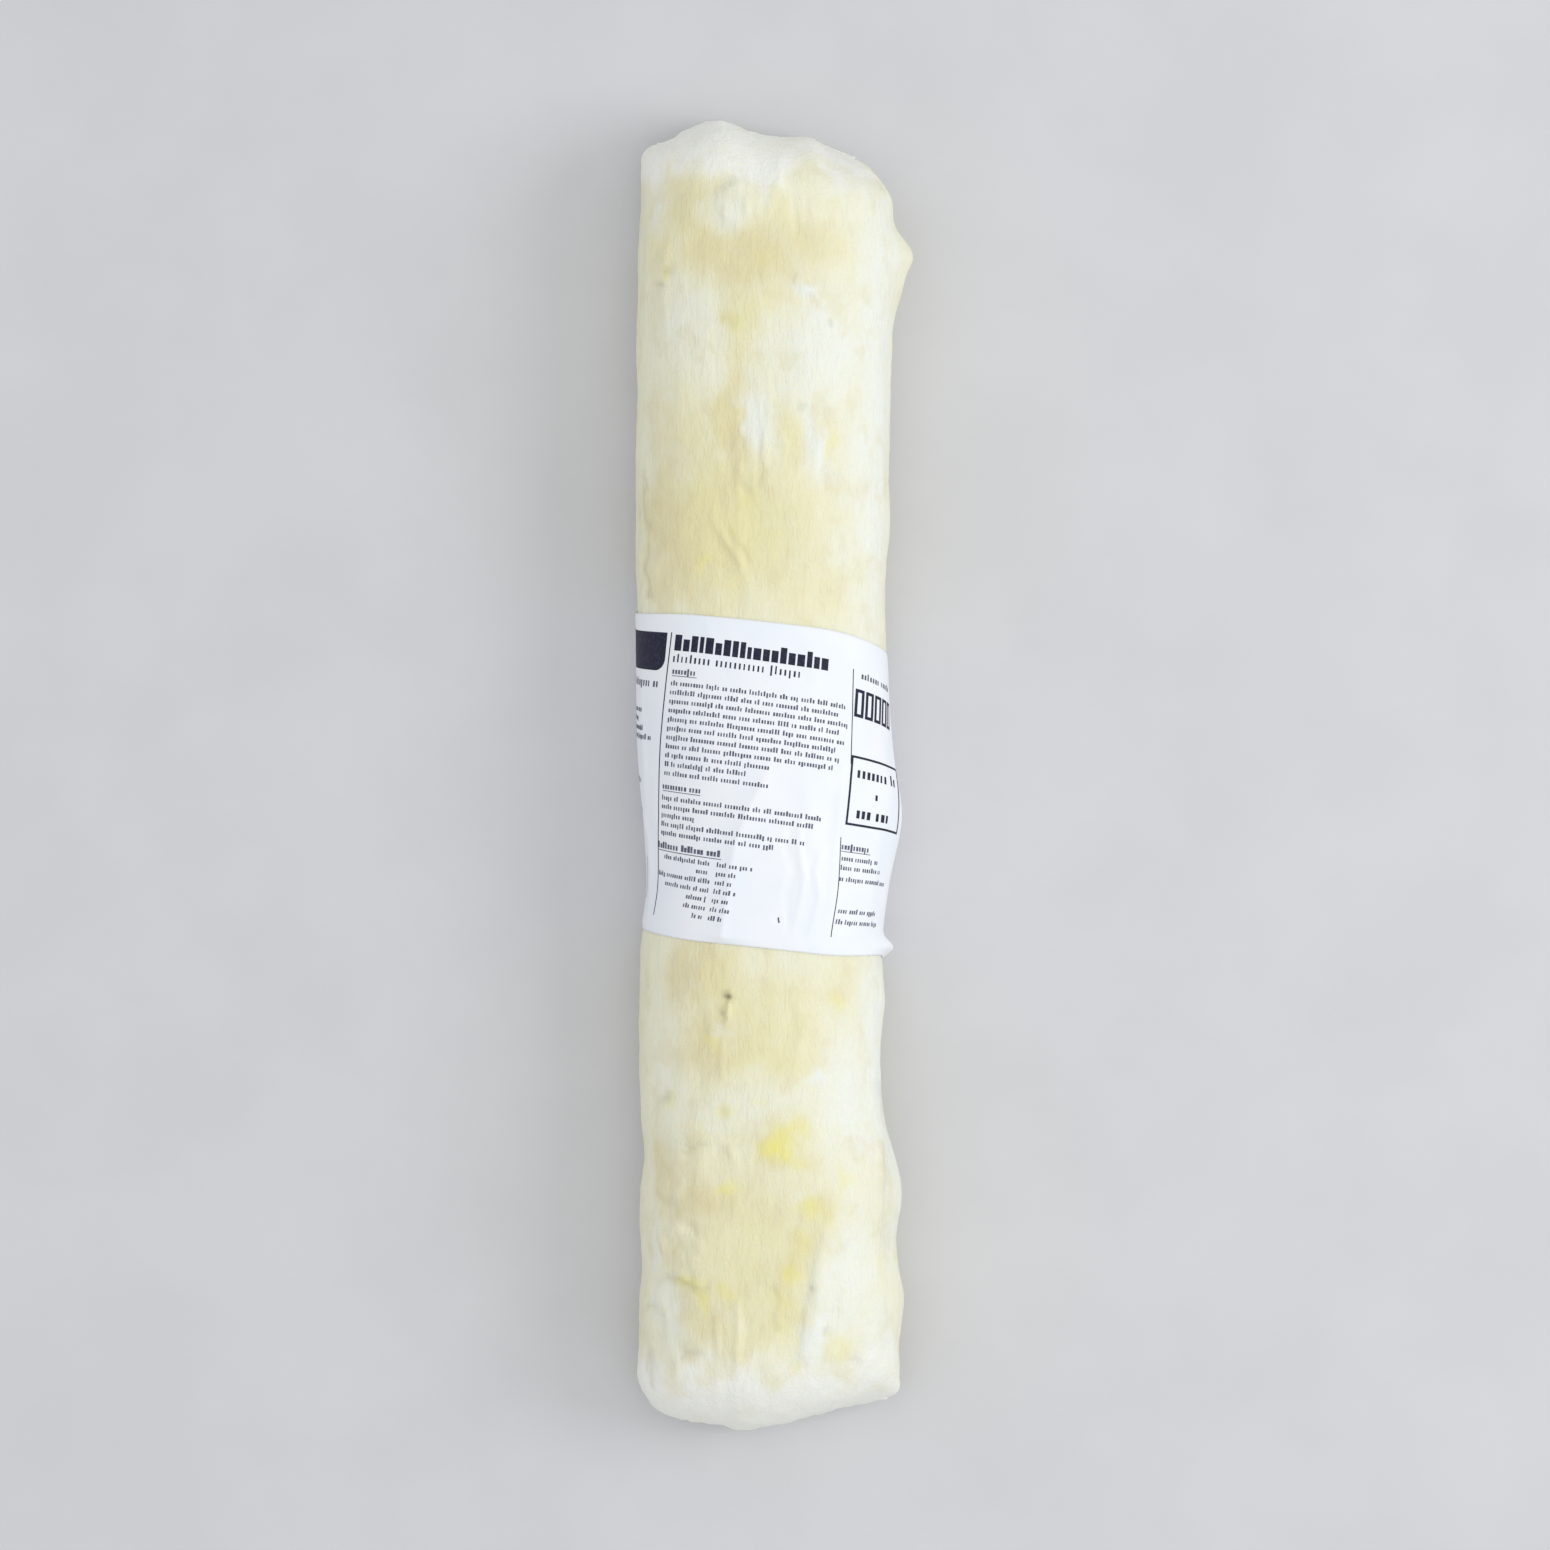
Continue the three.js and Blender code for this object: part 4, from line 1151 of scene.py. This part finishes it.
# A thin rule, then a short grey line that is painted shadow in the paper's dent
THIN_RULE_AND_DENT_SHADOW = [((-45.5, 80), (-45.5, 94), 0.3), ((9.5, 92.2), (10.2, 93.9), 0.5)]
CONTENTS_LEFT, CONTENTS_BASE, CONTENTS_PITCH = -33.7, 22.9, 2.9
CONTENTS_ENDS = [24.6, 21.8, 25.5, 22, 24, 21.5, 22.9, 21, 2.5, -4.7, 1.3]
# Lines of a column: base and end of each
STEPS_LEFT = -34.4
STEPS_LINES = [(60, 18.9), (62.8, 17.4), (65.6, -21.4), (68.5, 14.5), (71.3, 5.1)]
FAR_LEFT = -74
FAR_TEXT = (1.3, 0.6)
FAR_LINES = [(32.6, -46), (35.6, -50), (38.6, -43.5), (41.4, -40), (56, -48), (66, -48.5)]
# The table's rows: how wide the name and the value are
TABLE = [(18, 11.5), (5, 6.5), (21.5, 6), (17, 7.5), (7.5, 6), (8, 6.5), (4, 5)]
TABLE_BASE, TABLE_PITCH = 79, 2.85
TABLE_NAMES, TABLE_VALUES = -14.5, -12.6  # where the names end and the values start
TABLE_TEXT = (1.1, 0.55)
TABLE_SLACK = 0.1  # room for the last block of a name
# Lines of the right column: base, start and end of each
SIDE_LINES = [(71.4, 27, 42), (74.4, 27, 44.5), (78, 27, 49), (88.2, 28.7, 46.5), (91.7, 28.7, 48)]


def small_print():
    """The small greeked text: contents, steps and table, then the right and the far left column."""
    ink = Print(32)
    ink.underlined(*CONTENTS_TITLE)
    for k, end in enumerate(CONTENTS_ENDS):
        ink.words(CONTENTS_LEFT, end, CONTENTS_BASE + CONTENTS_PITCH * k, *SMALL)
    ink.underlined(*STEPS_TITLE)
    for base, end in STEPS_LINES:
        ink.words(STEPS_LEFT, end, base, *SMALL)
    ink.underlined(*TABLE_TITLE)
    for k, (name_width, value_width) in enumerate(TABLE):
        base = TABLE_BASE + TABLE_PITCH * k
        ink.words(TABLE_NAMES - name_width, TABLE_NAMES + TABLE_SLACK, base, *TABLE_TEXT)
        ink.words(TABLE_VALUES, TABLE_VALUES + value_width, base, *TABLE_TEXT, (3, 5))
    ink.words(*OVER_NUMBER)
    ink.underlined(*SIDE_TITLE)
    for base, start, end in SIDE_LINES:
        ink.words(start, end, base, *SMALL)
    ink.words(*UNDER_BLOCK)
    for base, end in FAR_LINES:
        ink.words(FAR_LEFT, end, base, *FAR_TEXT)
    # The thin rule, and the dent's painted shadow
    for rule in THIN_RULE_AND_DENT_SHADOW:
        ink.line(*rule)
    return ink


# ---- light, floor and camera

PHOTO_PIXELS = 1550
ROLL_PIXELS = 1305  # how long the roll is in the photograph
PHOTO_WIDTH = LENGTH / ROLL_PIXELS * PHOTO_PIXELS
VIEW_DISTANCE = 3000
FOCUS_HEIGHT = 14
AIM_X = 0.45  # the camera stands this far right of the roll's middle
SENSOR = 36
CLIP_END = 20
FLOOR_SIZE = 8
# Lights: name, place, size, power
LIGHTS = [("key", (1.3, 0.1, 1.1), 0.9, 7.6), ("over", (0, -0.1, 1.8), 1.4, 3.4)]
SKY_COLOUR = (0.97, 0.98, 1, 1)
SKY_STRENGTH = 0.715


def make_floor():
    mesh = bpy.data.meshes.new("floor")
    half = FLOOR_SIZE / 2
    corners = [(-half, -half, 0), (half, -half, 0), (half, half, 0), (-half, half, 0)]
    mesh.from_pydata(corners, [], [(0, 1, 2, 3)])
    colours = linear(212, 212, 214), linear(216, 216, 218)
    mesh.materials.append(mottled_material("studio_floor", 60, (0.3, 0.7), colours, 0.85, 0.5))
    add_object("floor", mesh)


def make_lights():
    for name, place, size, power in LIGHTS:
        data = bpy.data.lights.new(name, "AREA")
        data.shape = "DISK"
        data.size = size
        data.energy = power
        light = add_object(name, data, place)
        light.rotation_euler = (-light.location).to_track_quat("-Z", "Y").to_euler()
        light.visible_camera = False
    world = bpy.data.worlds.new("studio")
    world.use_nodes = True
    inputs = world.node_tree.nodes["Background"].inputs
    inputs["Color"].default_value = SKY_COLOUR
    inputs["Strength"].default_value = SKY_STRENGTH
    SCENE.world = world
    SCENE.view_settings.view_transform = "Standard"


def make_camera():
    data = bpy.data.cameras.new("camera")
    data.sensor_width = SENSOR
    data.lens = SENSOR * VIEW_DISTANCE / PHOTO_WIDTH
    data.clip_end = CLIP_END
    place = (AIM_X * MM, 0, (FOCUS_HEIGHT + VIEW_DISTANCE) * MM)
    SCENE.camera = add_object("camera", data, place)


# ---- the scene


def dress(obj, material, slot, *nodes):
    obj.data.materials.append(material)
    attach(obj, "root")
    if nodes:
        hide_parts(*nodes)


def main():
    dress(strudel_mesh(), dough_material(), "dough", "strudel")
    dress(label_mesh(), paper_material(), "label_paper", "label")
    navy = ink_material("label_ink", linear(27, 29, 52), linear(52, 55, 78))
    # The small print's grey ink, which also draws the painted shadow in the paper's dent
    grey = ink_material("label_small_ink_and_dent_shadow", linear(88, 90, 108), linear(120, 122, 138))
    dress(dark_print().make("label_dark_print"), navy, "label_ink")
    dress(small_print().make("label_small_print_and_dent_shadow"), grey, "label_ink")
    make_floor()
    make_lights()
    make_camera()


main()
